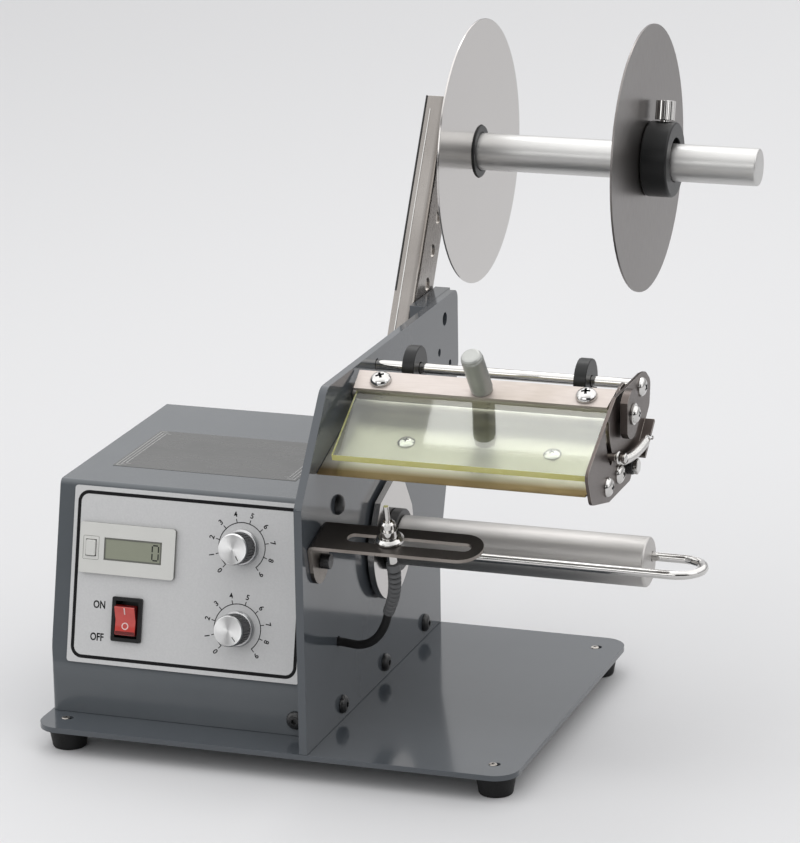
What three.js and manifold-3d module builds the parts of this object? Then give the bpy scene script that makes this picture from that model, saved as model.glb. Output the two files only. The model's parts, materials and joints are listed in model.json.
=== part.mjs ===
// A desk-top label dispenser. A roll of labels turns on the upper spindle, the strip runs under a clear
// cover and round the edge of a peel plate, and a driven roller winds up the empty backing paper.
// Millimetres, +Z up. The machine stands on its feet with its front towards -Y.
import * as THREE from "three";
import { mergeVertices } from "three/addons/utils/BufferGeometryUtils.js";
import Module from "manifold-3d";

const wasm = await Module();
wasm.setup();

// Gaps between pieces that touch, and round pieces that turn or slide
const seatGap = 0.2;
const runningGap = 0.3;
const overrun = 1;

// Base plate and feet, measured from the main plate's inner face and the front edge
const baseLeft = 133.3;
const baseRight = 102.2;
const baseDepth = 195.2;
const baseThickness = 2.6;
const baseCornerRadius = 11.5;
const footInsetSide = 12.3;
const footInsetEnd = 14.6;
const footHeight = 11;
const footTopRadius = 9.8;
const footBottomRadius = 7.9;
const footBore = 2.2;
const footRecessRadius = 4.6;
const footRecessDepth = 4;

// Main plate, which stands on the base and carries everything
const plateThickness = 3.8;
const plateFrontHeight = 117.4;
const plateHeight = 164.7;
const plateSlantRun = 37.5;
const plateTopRear = 227.9;
const plateRearCorner = 127;
const plateRearStep = 37.3;
const plateFrontRadius = 8;
const plateRearRadius = 5;
const plateBlendRadius = 3;

// Housing, bent from sheet, with its front leaning back above a vertical foot
const housingLeft = 132.8;
const housingFront = 22.4;
const housingRear = 177.5;
const housingHeight = 108.6;
const housingFoot = 21.3;
const housingLean = THREE.MathUtils.degToRad(13);
const housingSheet = 1.2;
const housingBend = 3;
const housingSoftBend = 40;

// Control panel on the leaning front, placed by its distance up that front
const panelLeft = 124.6;
const panelRight = 8;
const panelFoot = 4;
const panelTop = 87.5;
const panelSheet = 0.8;
const panelCornerRadius = 1.5;

// Counter module in the panel
const counterCentreX = -96.1;
const counterCentreUp = 58.8;
const counterWidth = 48;
const counterHeight = 24;
const counterBezel = 1.8;
const counterBodyInset = 1.5;
const counterDepth = 34;
const counterCornerRadius = 1.5;
const windowWidth = 28.6;
const windowHeight = 10.2;
const windowOffset = 2.9;
const windowThickness = 0.7;
const windowRecess = 1.1;
const resetWidth = 4.8;
const resetHeight = 7.4;
const resetOffset = -18.2;
const resetLength = 5;
const resetProud = 0.9;
const resetTravel = 1.4;

// Rocker switch in the panel
const rockerCentreX = -94.7;
const rockerCentreUp = 26.3;
const rockerFrameWidth = 15;
const rockerFrameHeight = 21;
const rockerFrameProud = 1.6;
const rockerFrameRim = 1.8;
const rockerBodyInset = 1;
const rockerBodyDepth = 16;
const rockerPocket = 7;
const rockerThrow = THREE.MathUtils.degToRad(8);
const rockerProud = 2.1;
const rockerPivotDepth = 2.4;

// Dial knobs and the potentiometers that they turn
const dialCentreX = -39.6;
const lengthDialUp = 65.2;
const speedDialUp = 27.2;
const knobFootRadius = 7.6;
const knobFaceRadius = 6.5;
const knobHeight = 12.6;
const knobChamfer = 0.8;
const knobSkirtHeight = 2.2;
const knobRecess = 3.4;
const dialShaftRadius = 3;
const dialShaftLength = 9.5;
const dialBushRadius = 3.5;
const dialNutRadius = 5;
const dialNutHeight = 2;
const dialBodyRadius = 8.2;
const dialBodyDepth = 9;

// Pieces inside and behind the housing
const boardLeft = 126;
const boardWidth = 62;
const boardFront = 50;
const boardDepth = 48;
const boardThickness = 1.6;
const boardStand = 6;
const standRadius = 3;
const standInset = 5;
const boardPartHeight = 14;
const boardPartShares = [[0.2, 0.25], [0.5, 0.3], [0.78, 0.72], [0.25, 0.75]];
const boardPartRadiusShare = 0.11;
const transformerLeft = 126;
const transformerWidth = 44;
const transformerFront = 112;
const transformerDepth = 50;
const transformerHeight = 40;
const transformerCoilHeight = 26;
const transformerCoilShare = 0.5;
const transformerFootThickness = 2;
const inletCentreX = -101;
const inletCentreUp = 66;
const inletWidth = 27;
const inletHeight = 20;
const inletFlange = 3;
const inletFlangeThickness = 2.5;
const inletDepth = 18;
const inletSocketWidth = 22;
const inletSocketHeight = 14.5;
const inletSocketDepth = 15;
const inletPinWidth = 2;
const inletPinHeight = 4;
const inletPinLength = 12;
const inletPinSpacing = 7;
const ventCount = 6;
const ventWidth = 3;
const ventLength = 34;
const ventPitch = 8;
const ventCentreX = -42;
const ventCentreUp = 72;

// Take-up roller, its drive and the wire clip that holds the backing paper
const rollerAxisDepth = 112;
const rollerAxisHeight = 70;
const rollerRadius = 12;
const rollerEnd = 135.3;
const rollerChamfer = 0.8;
const hubRadius = 15;
const hubLength = 4.5;
const driveShaftRadius = 4;
const driveShaftBack = 30;
const driveShaftFront = 40;
const motorGearRadius = 25;
const motorGearLength = 32;
const motorCanRadius = 21;
const motorCanLength = 52;
const motorCapRadius = 8;
const motorCapLength = 4;
const guideDiscRadius = 29;
const guideDiscThickness = 3;
const guideDiscOffset = 1.7;
const guideFacetAngles = [168, 128, 88, 52, 18];
const clipWireRadius = 2.2;
const clipSpacing = 24.5;
const clipRearOffset = 5.2;
const clipRise = 1.2;
const clipReach = 163;
const clipRearStart = 56;
const clipFrontStart = 22;

// Strut, a stainless channel open towards the housing, and the block that spaces it off the plate
const spindleAxisDepth = 250.8;
const spindleAxisHeight = 230;
const strutLean = THREE.MathUtils.degToRad(31);
const strutWidth = 28;
const strutFlange = 11;
const strutSheet = 1.5;
const strutTop = 23;
const strutFoot = 113;
const strutHolePitch = 17.4;
const strutHoleCount = 5;
const strutHoleRadius = 3.35;
const strutFirstHole = 35.4;
const strutHoleShift = 1.8;
const blockThickness = 7.7;
const blockFront = 188;
const blockFoot = 127;
const boltShankRadius = 2.6;
const boltHeadRadius = 4.6;
const boltHeadHeight = 3;
const boltTip = 2;
const plateSmallHole = 2;
const plateSmallHoleShift = 19;

// Roll spindle with its bearing, inner disc and sliding outer disc
const spindleRadius = 9.3;
const spindleEnd = 152;
const spindleShoulder = 6.9;
const spindleChamfer = 0.6;
const journalRadius = 5;
const journalBack = 19;
const bearingNeckRadius = 7.8;
const bearingFlangeRadius = 11;
const bearingFlangeThickness = 4;
const retainerRadius = 8;
const retainerThickness = 3;
const discRadius = 66;
const discThickness = 1;
const innerDiscFace = 8;
const innerHubRadius = 13;
const innerHubFlangeRadius = 20;
const innerHubFlangeThickness = 4.5;
const innerHubProud = 0.8;
const outerDiscFace = 94.9;
const collarRadius = 18.6;
const collarLength = 13.5;
const collarPlay = 1.35;
const collarChamfer = 0.6;
const thumbscrewRadius = 4.9;
const thumbscrewHead = 9.6;
const thumbscrewLift = 0.5;
const thumbscrewShank = 2.2;
const thumbscrewLean = THREE.MathUtils.degToRad(-14);
const thumbscrewFlutes = 20;
const thumbscrewFluteDepth = 0.35;

// Peel plate, the bar below it and the end plate
const peelEdgeDepth = 19.5;
const peelEdgeHeight = 129;
const peelSlope = THREE.MathUtils.degToRad(18);
const peelLength = 72;
const peelSheet = 2;
const peelBevel = 5;
const headEnd = 131.2;
const barFront = 43;
const barRear = 76;
const barFoot = 122;
const barEdgeRadius = 1.5;
const endPlateThickness = 1.6;
const endPlateFront = 16.7;
const endPlateFoot = 117.3;
const endPlateDepth = 104.9;
const endPlateHeight = 46.2;
const endPlateShares = [
  [0.334, 0, 0.04], [0.665, 0, 0.03], [0.982, 0.589, 0.05], [1, 0.84, 0.05], [0.918, 0.974, 0.06],
  [0.838, 1, 0], [0.44, 0.996, 0.02], [0, 0.483, 0.04], [0.071, 0.141, 0.06],
];
const earLength = 21;
const earSheet = 1.6;
const earProud = 4.6;
const earEndShare = 0.305;

// Guide rod and the two label guides that slide on it
const rodDepth = 105.5;
const rodHeight = 157.8;
const rodRadius = 2.5;
const guideRadius = 10.5;
const guideThickness = 6;
const guideFlat = 6;
const guideSlit = 1.2;
const leftGuideAt = 19.5;
const rightGuideAt = 103;

// Clear cover, hinged behind the peel edge, with its clamp strip, handle and hinge bar
const hingeDepth = 74;
const hingeHeight = 153;
const coverSlope = THREE.MathUtils.degToRad(23);
const coverThickness = 3.2;
const coverReach = 53.3;
const coverBack = 6;
const coverLeftBack = 7;
const coverLeftFront = 10.5;
const coverEndGap = 0.8;
const coverUnderside = 3.1;
const stripSheet = 1.5;
const stripFront = 6.6;
const stripBack = 6.8;
const stripLeft = 5.2;
const stripRight = 129.2;
const stripEndSlant = 1.2;
const hingeBarWidth = 8;
const hingeBarDrop = 3.2;
const hingeBarRadius = 1.5;
const hingeBarStart = 4.2;
const hingeBarEnd = 129;
const pivotRadius = 2.5;
const stripScrewRadius = 5;
const stripScrewDome = 2.6;
const stripScrewShank = 1.6;
const stripScrewDepth = 9;
const stripScrewInset = 12.6;
const stripScrewShift = 0.4;
const handleRadius = 5.2;
const handleLength = 23;
const handleForwardLean = THREE.MathUtils.degToRad(8);
const handleSideLean = THREE.MathUtils.degToRad(-4);
const handleStudRadius = 2;
const handleStudDepth = 8.5;
const handleAt = 67.3;
const handleShift = -1.2;
const handleCrown = 0.5;

// Arm inside the end plate, whose pin reaches out through a curved slot and stretches the spring
const armSheet = 1.4;
const armStart = 129.4;
const armOutline = [[-19.5, -19.5, 2.5], [6, -7, 5], [12.5, 4, 3], [11.5, 12, 3], [3, 11, 4], [-25, -13.5, 3]];
const pinPlace = [-20, -15];
const pinRadius = 1.8;
const pinWaistRadius = 1.2;
const pinWaistShare = 0.3;
const pinReach = 139.4;
const coverOpening = THREE.MathUtils.degToRad(33);
const slotRadius = 3;
const headNotchStart = 129;
const peelNotchFront = 23;
const barNotchFoot = 133.4;
const coverNotchFront = 12.5;

// Link on the outer end of the hinge bar, flat on two sides, and its screw with a washer
const linkFoot = 134.2;
const linkRadius = 11.5;
const linkHalfWidth = 9;
const linkThickness = 3.4;
const linkBossRadius = 5;
const linkWasherRadius = 5;
const linkWasher = 0.9;
const linkScrewRadius = 4;
const linkScrewHead = 2.2;
const linkScrewShank = 1.2;
const linkScrewDepth = 6;

// Extension spring from the arm's pin to the eye in the ear
const springPlane = 136.5;
const springWireRadius = 0.4;
const springCoilRadius = 1.95;
const springTurns = 27;
const springCurlSteps = 8;
const springWireSides = 5;
const springHookSteps = 8;
const springHookRadius = 2.5;
const springRoute = [[62.5, 134.4], [72, 132.9], [81, 132.1], [90, 132], [98.5, 132.6]];
const eyeHookShares = [[1, 0], [-0.6, 0], [-1, 0.3], [-0.9, 0.8], [-0.3, 1], [0.4, 1]];
const eyeHookReach = 2;
const eyeHookOut = 2.8;
const eyePlace = [104.6, 133.4];
const eyeRadius = 1.3;

// Sensor bracket, which tilts on its bolt, and the sensor in the bracket's slot
const bracketDepth = 19.5;
const bracketHeight = 88;
const bracketTilt = THREE.MathUtils.degToRad(16);
const bracketSheet = 1.7;
const bracketWidth = 21;
const bracketReach = 80.4;
const bracketRise = 14.5;
const bracketBend = 3;
const bracketSlotStart = 16;
const bracketSlotEnd = 75;
const bracketSlotWidth = 6.5;
const bracketBoltRadius = 2;
const bracketBoltHeadRadius = 3.6;
const bracketBoltHead = 4.5;
const sensorAt = 40.5;
const sensorNeckRadius = 2.8;
const sensorFlangeRadius = 5;
const sensorFlangeThickness = 1.3;
const sensorBarrelRadius = 2.2;
const sensorBarrelDrop = 8.6;
const sensorNutRadius = 6.6;
const sensorNutHeight = 2.4;
const sensorBodyRadius = 4.2;
const sensorBodyLength = 3.6;
const sensorWaistRadius = 2.9;
const sensorWaistLength = 1;
const sensorCapRadius = 3.3;
const sensorCapLength = 3.2;
const sensorProbeRadius = 1.25;
const sensorProbeLength = 8;
const reliefTopRadius = 3.2;
const reliefEndRadius = 2.6;
const reliefGroove = 0.55;
const reliefRibs = 11;
const reliefSides = 8;
const cableRadius = 2;
const cableHoleDepth = 45.1;
const cableHoleHeight = 40.1;
const cableSides = 8;
const cableSteps = 16;

// The strain relief's line from the sensor down to the cable, and the cable's own line to the main plate
const reliefRoute = [[40.5, 18.9, 90.2], [40.5, 20.5, 84.5], [39.8, 22.8, 78.5], [38.3, 25.6, 72.8],
  [36.1, 28.5, 67.3], [33.6, 31.4, 62.2]];
const cableRoute = [[33.4, 31.6, 61.8], [31, 33.8, 55.2], [27, 36.6, 48.6], [21.5, 39.6, 43.4],
  [15, 42.4, 40.6], [9.5, 44.3, 40.1], [6, 45.1, 40.1], [0.8, 45.1, 40.1]];

// Number of sides of a round piece by its size, and of steps on a rounded corner
const bigRound = 72;
const midRound = 28;
const smallRound = 16;
const cornerSteps = 3;
const boreSteps = 8;

const finishes = {
  platePaint: new THREE.MeshStandardMaterial({ color: 0x747d85, roughness: 0.45, metalness: 0 }),
  housingPaint: new THREE.MeshStandardMaterial({ color: 0x4d5357, roughness: 0.5, metalness: 0 }),
  stainless: new THREE.MeshStandardMaterial({ color: 0xa79f96, roughness: 0.3, metalness: 1 }),
  aluminium: new THREE.MeshStandardMaterial({ color: 0xc4c6c6, roughness: 0.35, metalness: 1 }),
  chrome: new THREE.MeshStandardMaterial({ color: 0xdcdcdc, roughness: 0.12, metalness: 1 }),
  blackPlastic: new THREE.MeshStandardMaterial({ color: 0x1a1b1c, roughness: 0.5, metalness: 0 }),
  greyPlastic: new THREE.MeshStandardMaterial({ color: 0xb9bab4, roughness: 0.45, metalness: 0 }),
  panelSilver: new THREE.MeshStandardMaterial({ color: 0xb4b6b8, roughness: 0.4, metalness: 0.4 }),
  rubber: new THREE.MeshStandardMaterial({ color: 0x161616, roughness: 0.8, metalness: 0 }),
  greyRubber: new THREE.MeshStandardMaterial({ color: 0x6b6c6c, roughness: 0.7, metalness: 0 }),
  redLens: new THREE.MeshStandardMaterial({ color: 0x9c1414, roughness: 0.25, metalness: 0 }),
  displayGlass: new THREE.MeshStandardMaterial({ color: 0x8d9583, roughness: 0.2, metalness: 0 }),
  clearYellow: new THREE.MeshStandardMaterial({ color: 0xd9d9a0, roughness: 0.1, metalness: 0 }),
  greenBoard: new THREE.MeshStandardMaterial({ color: 0x22603a, roughness: 0.5, metalness: 0 }),
};

// A solid for cutting and joining, made of the geometry's triangles with their corners merged.
function solid(geometry) {
  const bare = new THREE.BufferGeometry();
  bare.setAttribute("position", geometry.getAttribute("position").clone());
  if (geometry.index) bare.setIndex(geometry.index.clone());
  const merged = mergeVertices(bare);
  const kept = [];
  for (let i = 0; i < merged.index.count; i += 3) {
    const [a, b, c] = [merged.index.getX(i), merged.index.getX(i + 1), merged.index.getX(i + 2)];
    if (a !== b && b !== c && c !== a) kept.push(a, b, c);
  }
  const vertProperties = new Float32Array(merged.getAttribute("position").array);
  return new wasm.Manifold(new wasm.Mesh({ numProp: 3, vertProperties, triVerts: new Uint32Array(kept) }));
}

function geometryOf(body) {
  const mesh = body.getMesh();
  const geometry = new THREE.BufferGeometry();
  geometry.setAttribute("position", new THREE.BufferAttribute(new Float32Array(mesh.vertProperties), 3));
  geometry.setIndex(new THREE.BufferAttribute(new Uint32Array(mesh.triVerts), 1));
  geometry.computeVertexNormals();
  return geometry;
}

function cut(body, ...tools) {
  return geometryOf(tools.reduce((rest, tool) => rest.subtract(solid(tool)), solid(body)));
}

function join(body, ...others) {
  return geometryOf(others.reduce((whole, other) => whole.add(solid(other)), solid(body)));
}

function common(body, ...others) {
  return geometryOf(others.reduce((rest, other) => rest.intersect(solid(other)), solid(body)));
}

// An outline through corners [u, v, radius], anticlockwise, with each corner rounded to its radius.
function roundedShape(corners) {
  const shape = new THREE.Shape();
  corners.forEach(([u, v, radius = 0], index) => {
    const here = new THREE.Vector2(u, v);
    const [beforeU, beforeV] = corners[(index + corners.length - 1) % corners.length];
    const [afterU, afterV] = corners[(index + 1) % corners.length];
    const toBefore = new THREE.Vector2(beforeU, beforeV).sub(here).normalize();
    const toAfter = new THREE.Vector2(afterU, afterV).sub(here).normalize();
    if (radius === 0) {
      if (index === 0) shape.moveTo(u, v);
      else shape.lineTo(u, v);
      return;
    }
    const halfAngle = Math.acos(THREE.MathUtils.clamp(toBefore.dot(toAfter), -1, 1)) / 2;
    const middle = toBefore.clone().add(toAfter).normalize();
    const centre = here.clone().addScaledVector(middle, radius / Math.sin(halfAngle));
    const start = here.clone().addScaledVector(toBefore, radius / Math.tan(halfAngle)).sub(centre);
    const end = here.clone().addScaledVector(toAfter, radius / Math.tan(halfAngle)).sub(centre);
    const turnsLeft = toAfter.cross(toBefore) > 0;
    // An arc that comes first doesn't draw the edge that leads to it
    if (index > 0 && shape.curves.length === 0) shape.lineTo(centre.x + start.x, centre.y + start.y);
    shape.absarc(centre.x, centre.y, radius, start.angle(), end.angle(), !turnsLeft);
  });
  shape.closePath();
  return shape;
}

function roundedRectangle(u, v, width, height, radius) {
  return roundedShape([
    [u, v, radius], [u + width, v, radius], [u + width, v + height, radius], [u, v + height, radius],
  ]);
}

function withHoles(shape, holes) {
  for (const [u, v, radius] of holes) shape.holes.push(new THREE.Path().absarc(u, v, radius, 0, 2 * Math.PI));
  return shape;
}

function plate(shape, thickness, steps = cornerSteps) {
  return new THREE.ExtrudeGeometry(shape, { depth: thickness, bevelEnabled: false, curveSegments: steps });
}

function block(width, depth, height) {
  return new THREE.BoxGeometry(width, depth, height);
}

// A cylinder from the local origin along +Z.
function round(radius, length, sides = midRound) {
  return new THREE.CylinderGeometry(radius, radius, length, sides).rotateX(Math.PI / 2).translate(0, 0, length / 2);
}

// A piece turned about local Z, from its profile of [radius, height] points, lowest first on the outside.
function turned(profile, sides = midRound) {
  return new THREE.LatheGeometry(profile.map(([radius, height]) => new THREE.Vector2(radius, height)), sides)
    .rotateX(Math.PI / 2);
}

// The same with a bore right through, so that the profile closes on itself.
function turnedRing(outside, bore, sides = midRound) {
  const low = outside[0][1];
  const high = outside[outside.length - 1][1];
  return turned([[bore, low], ...outside, [bore, high], [bore, low]], sides);
}

// A group in side view: local X runs to the rear, local Y up and local Z to the right of the machine.
function sideGroup(x, y, z, lean = 0) {
  const group = new THREE.Group();
  const rearwards = new THREE.Vector3(0, Math.cos(lean), -Math.sin(lean));
  const upwards = new THREE.Vector3(0, Math.sin(lean), Math.cos(lean));
  const frame = new THREE.Matrix4().makeBasis(rearwards, upwards, new THREE.Vector3(1, 0, 0));
  group.quaternion.setFromRotationMatrix(frame);
  group.position.set(x, y, z);
  return group;
}

function add(group, name, geometry, material) {
  const mesh = new THREE.Mesh(geometry, material);
  mesh.name = name;
  group.add(mesh);
  return mesh;
}

const machine = new THREE.Group();
const side = sideGroup(0, 0, 0);
machine.add(side);

function makeBase() {
  const footPlaces = {
    foot_front_left: [footInsetSide - baseLeft, footInsetEnd],
    foot_front_right: [baseRight - footInsetSide, footInsetEnd],
    foot_rear_left: [footInsetSide - baseLeft, baseDepth - footInsetEnd],
    foot_rear_right: [baseRight - footInsetSide, baseDepth - footInsetEnd],
  };
  const outline = roundedRectangle(-baseLeft, 0, baseLeft + baseRight, baseDepth, baseCornerRadius);
  withHoles(outline, Object.values(footPlaces).map(([x, y]) => [x, y, footBore]));
  add(machine, "base_plate", plate(outline, baseThickness, boreSteps), finishes.platePaint)
    .position.z = -baseThickness;

  const foot = turned([
    [footBore, footRecessDepth], [footRecessRadius, footRecessDepth], [footRecessRadius, 0],
    [footBottomRadius, 0], [footTopRadius, footHeight - seatGap], [footBore, footHeight - seatGap],
    [footBore, footRecessDepth],
  ]);
  for (const [name, [x, y]] of Object.entries(footPlaces)) {
    add(machine, name, foot.clone(), finishes.rubber).position.set(x, y, -baseThickness - footHeight);
  }
}

// The strut's hole number, counted down from the spindle, in side view.
function strutHole(number, shift = strutHoleShift) {
  const down = strutFirstHole + number * strutHolePitch;
  return [
    spindleAxisDepth + shift * Math.cos(strutLean) - down * Math.sin(strutLean),
    spindleAxisHeight - shift * Math.sin(strutLean) - down * Math.cos(strutLean),
  ];
}

function makeMainPlate() {
  const outline = roundedShape([
    [0, 0], [baseDepth, 0], [baseDepth, plateRearStep, plateBlendRadius],
    [plateTopRear, plateRearCorner, plateBlendRadius], [plateTopRear, plateHeight, plateRearRadius],
    [plateSlantRun, plateHeight, plateFrontRadius], [0, plateFrontHeight, plateBlendRadius],
  ]);
  withHoles(outline, [
    [rollerAxisDepth, rollerAxisHeight, driveShaftRadius + overrun],
    [hingeDepth, hingeHeight, pivotRadius + runningGap],
    [rodDepth, rodHeight, rodRadius + runningGap],
    [cableHoleDepth, cableHoleHeight, cableRadius + seatGap + runningGap],
    [bracketDepth, bracketHeight, bracketBoltRadius + runningGap],
    [...strutHole(3), strutHoleRadius],
    [...strutHole(4), plateSmallHole],
    [...strutHole(4, plateSmallHoleShift + strutHoleShift), plateSmallHole],
  ]);
  add(side, "main_plate", plate(outline, plateThickness, boreSteps), finishes.platePaint)
    .position.y = seatGap;
}

// The housing's side outline, drawn in from its outer skin by the inset.
function housingOutline(inset) {
  const leanInset = inset * Math.tan(housingLean / 2);
  const topFront = housingFront + (housingHeight - housingFoot) * Math.tan(housingLean);
  const topInset = inset / Math.cos(housingLean) - inset * Math.tan(housingLean);
  const bend = Math.max(housingBend - inset, 0);
  return roundedShape([
    [housingFront + inset, seatGap], [housingRear - inset, seatGap],
    [housingRear - inset, housingHeight - inset, bend], [topFront + topInset, housingHeight - inset, bend],
    [housingFront + inset, housingFoot - leanInset, housingSoftBend],
  ]);
}

function housingBody(inset) {
  const length = housingLeft - inset;
  const along = plate(housingOutline(inset), length).applyMatrix4(side.matrixWorld).translate(-length, 0, 0);
  const plan = roundedShape([
    [-length, housingFront + inset, housingBend - inset], [overrun, housingFront + inset],
    [overrun, housingRear - inset], [-length, housingRear - inset, housingBend - inset],
  ]);
  return common(along, plate(plan, housingHeight + overrun));
}

// A frame on the housing's leaning front: local X to the right, Y up the front and Z out of it.
function frontMatrix() {
  const up = new THREE.Vector3(0, Math.sin(housingLean), Math.cos(housingLean));
  const right = new THREE.Vector3(1, 0, 0);
  return new THREE.Matrix4().makeBasis(right, up, right.clone().cross(up)).setPosition(0, housingFront, housingFoot);
}

// A frame on the housing's back: local X to the left of the machine, Y up and Z out of it.
function backMatrix() {
  const left = new THREE.Vector3(-1, 0, 0);
  const up = new THREE.Vector3(0, 0, 1);
  return new THREE.Matrix4().makeBasis(left, up, left.clone().cross(up)).setPosition(0, housingRear, 0);
}

function makeHousing() {
  side.updateWorldMatrix(true, false);
  const hollow = join(
    housingBody(housingSheet),
    block(housingLeft, housingRear - housingFront - housingSheet * 2, overrun * 2)
      .translate(housingSheet - housingLeft / 2, (housingRear + housingFront) / 2, seatGap),
    block(overrun * 2, housingRear - housingFront - housingSheet * 2, housingFoot)
      .translate(0, (housingRear + housingFront) / 2, housingFoot / 2),
  );
  const throughFront = (geometry) => geometry.translate(0, 0, -housingSheet * 2).applyMatrix4(frontMatrix());
  const windowDepth = housingSheet * 3;
  const frontCuts = [
    block(counterWidth - counterBodyInset, counterHeight - counterBodyInset, windowDepth)
      .translate(counterCentreX, counterCentreUp, windowDepth / 2),
    block(rockerFrameWidth - rockerBodyInset, rockerFrameHeight - rockerBodyInset, windowDepth)
      .translate(rockerCentreX, rockerCentreUp, windowDepth / 2),
    round(dialBushRadius + runningGap, windowDepth, smallRound).translate(dialCentreX, lengthDialUp, 0),
    round(dialBushRadius + runningGap, windowDepth, smallRound).translate(dialCentreX, speedDialUp, 0),
  ].map(throughFront);
  const throughBack = (geometry) => geometry.translate(0, 0, -housingSheet).applyMatrix4(backMatrix());
  const backCuts = [
    block(inletWidth + seatGap * 2, inletHeight + seatGap * 2, windowDepth)
      .translate(-inletCentreX, inletCentreUp, 0),
  ];
  for (let vent = 0; vent < ventCount; vent += 1) {
    const across = -ventCentreX + (vent - (ventCount - 1) / 2) * ventPitch;
    const slot = roundedRectangle(across - ventWidth / 2, ventCentreUp - ventLength / 2, ventWidth, ventLength,
      ventWidth / 2);
    backCuts.push(plate(slot, windowDepth, 2).translate(0, 0, -housingSheet));
  }
  const shell = cut(housingBody(0), hollow, ...frontCuts, ...backCuts.map(throughBack));
  const trimmed = cut(shell, block(overrun * 4, baseDepth * 2, housingHeight * 3)
    .translate(overrun * 2 - seatGap, baseDepth, 0));
  add(machine, "housing_cover", trimmed, finishes.housingPaint);
}

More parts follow.
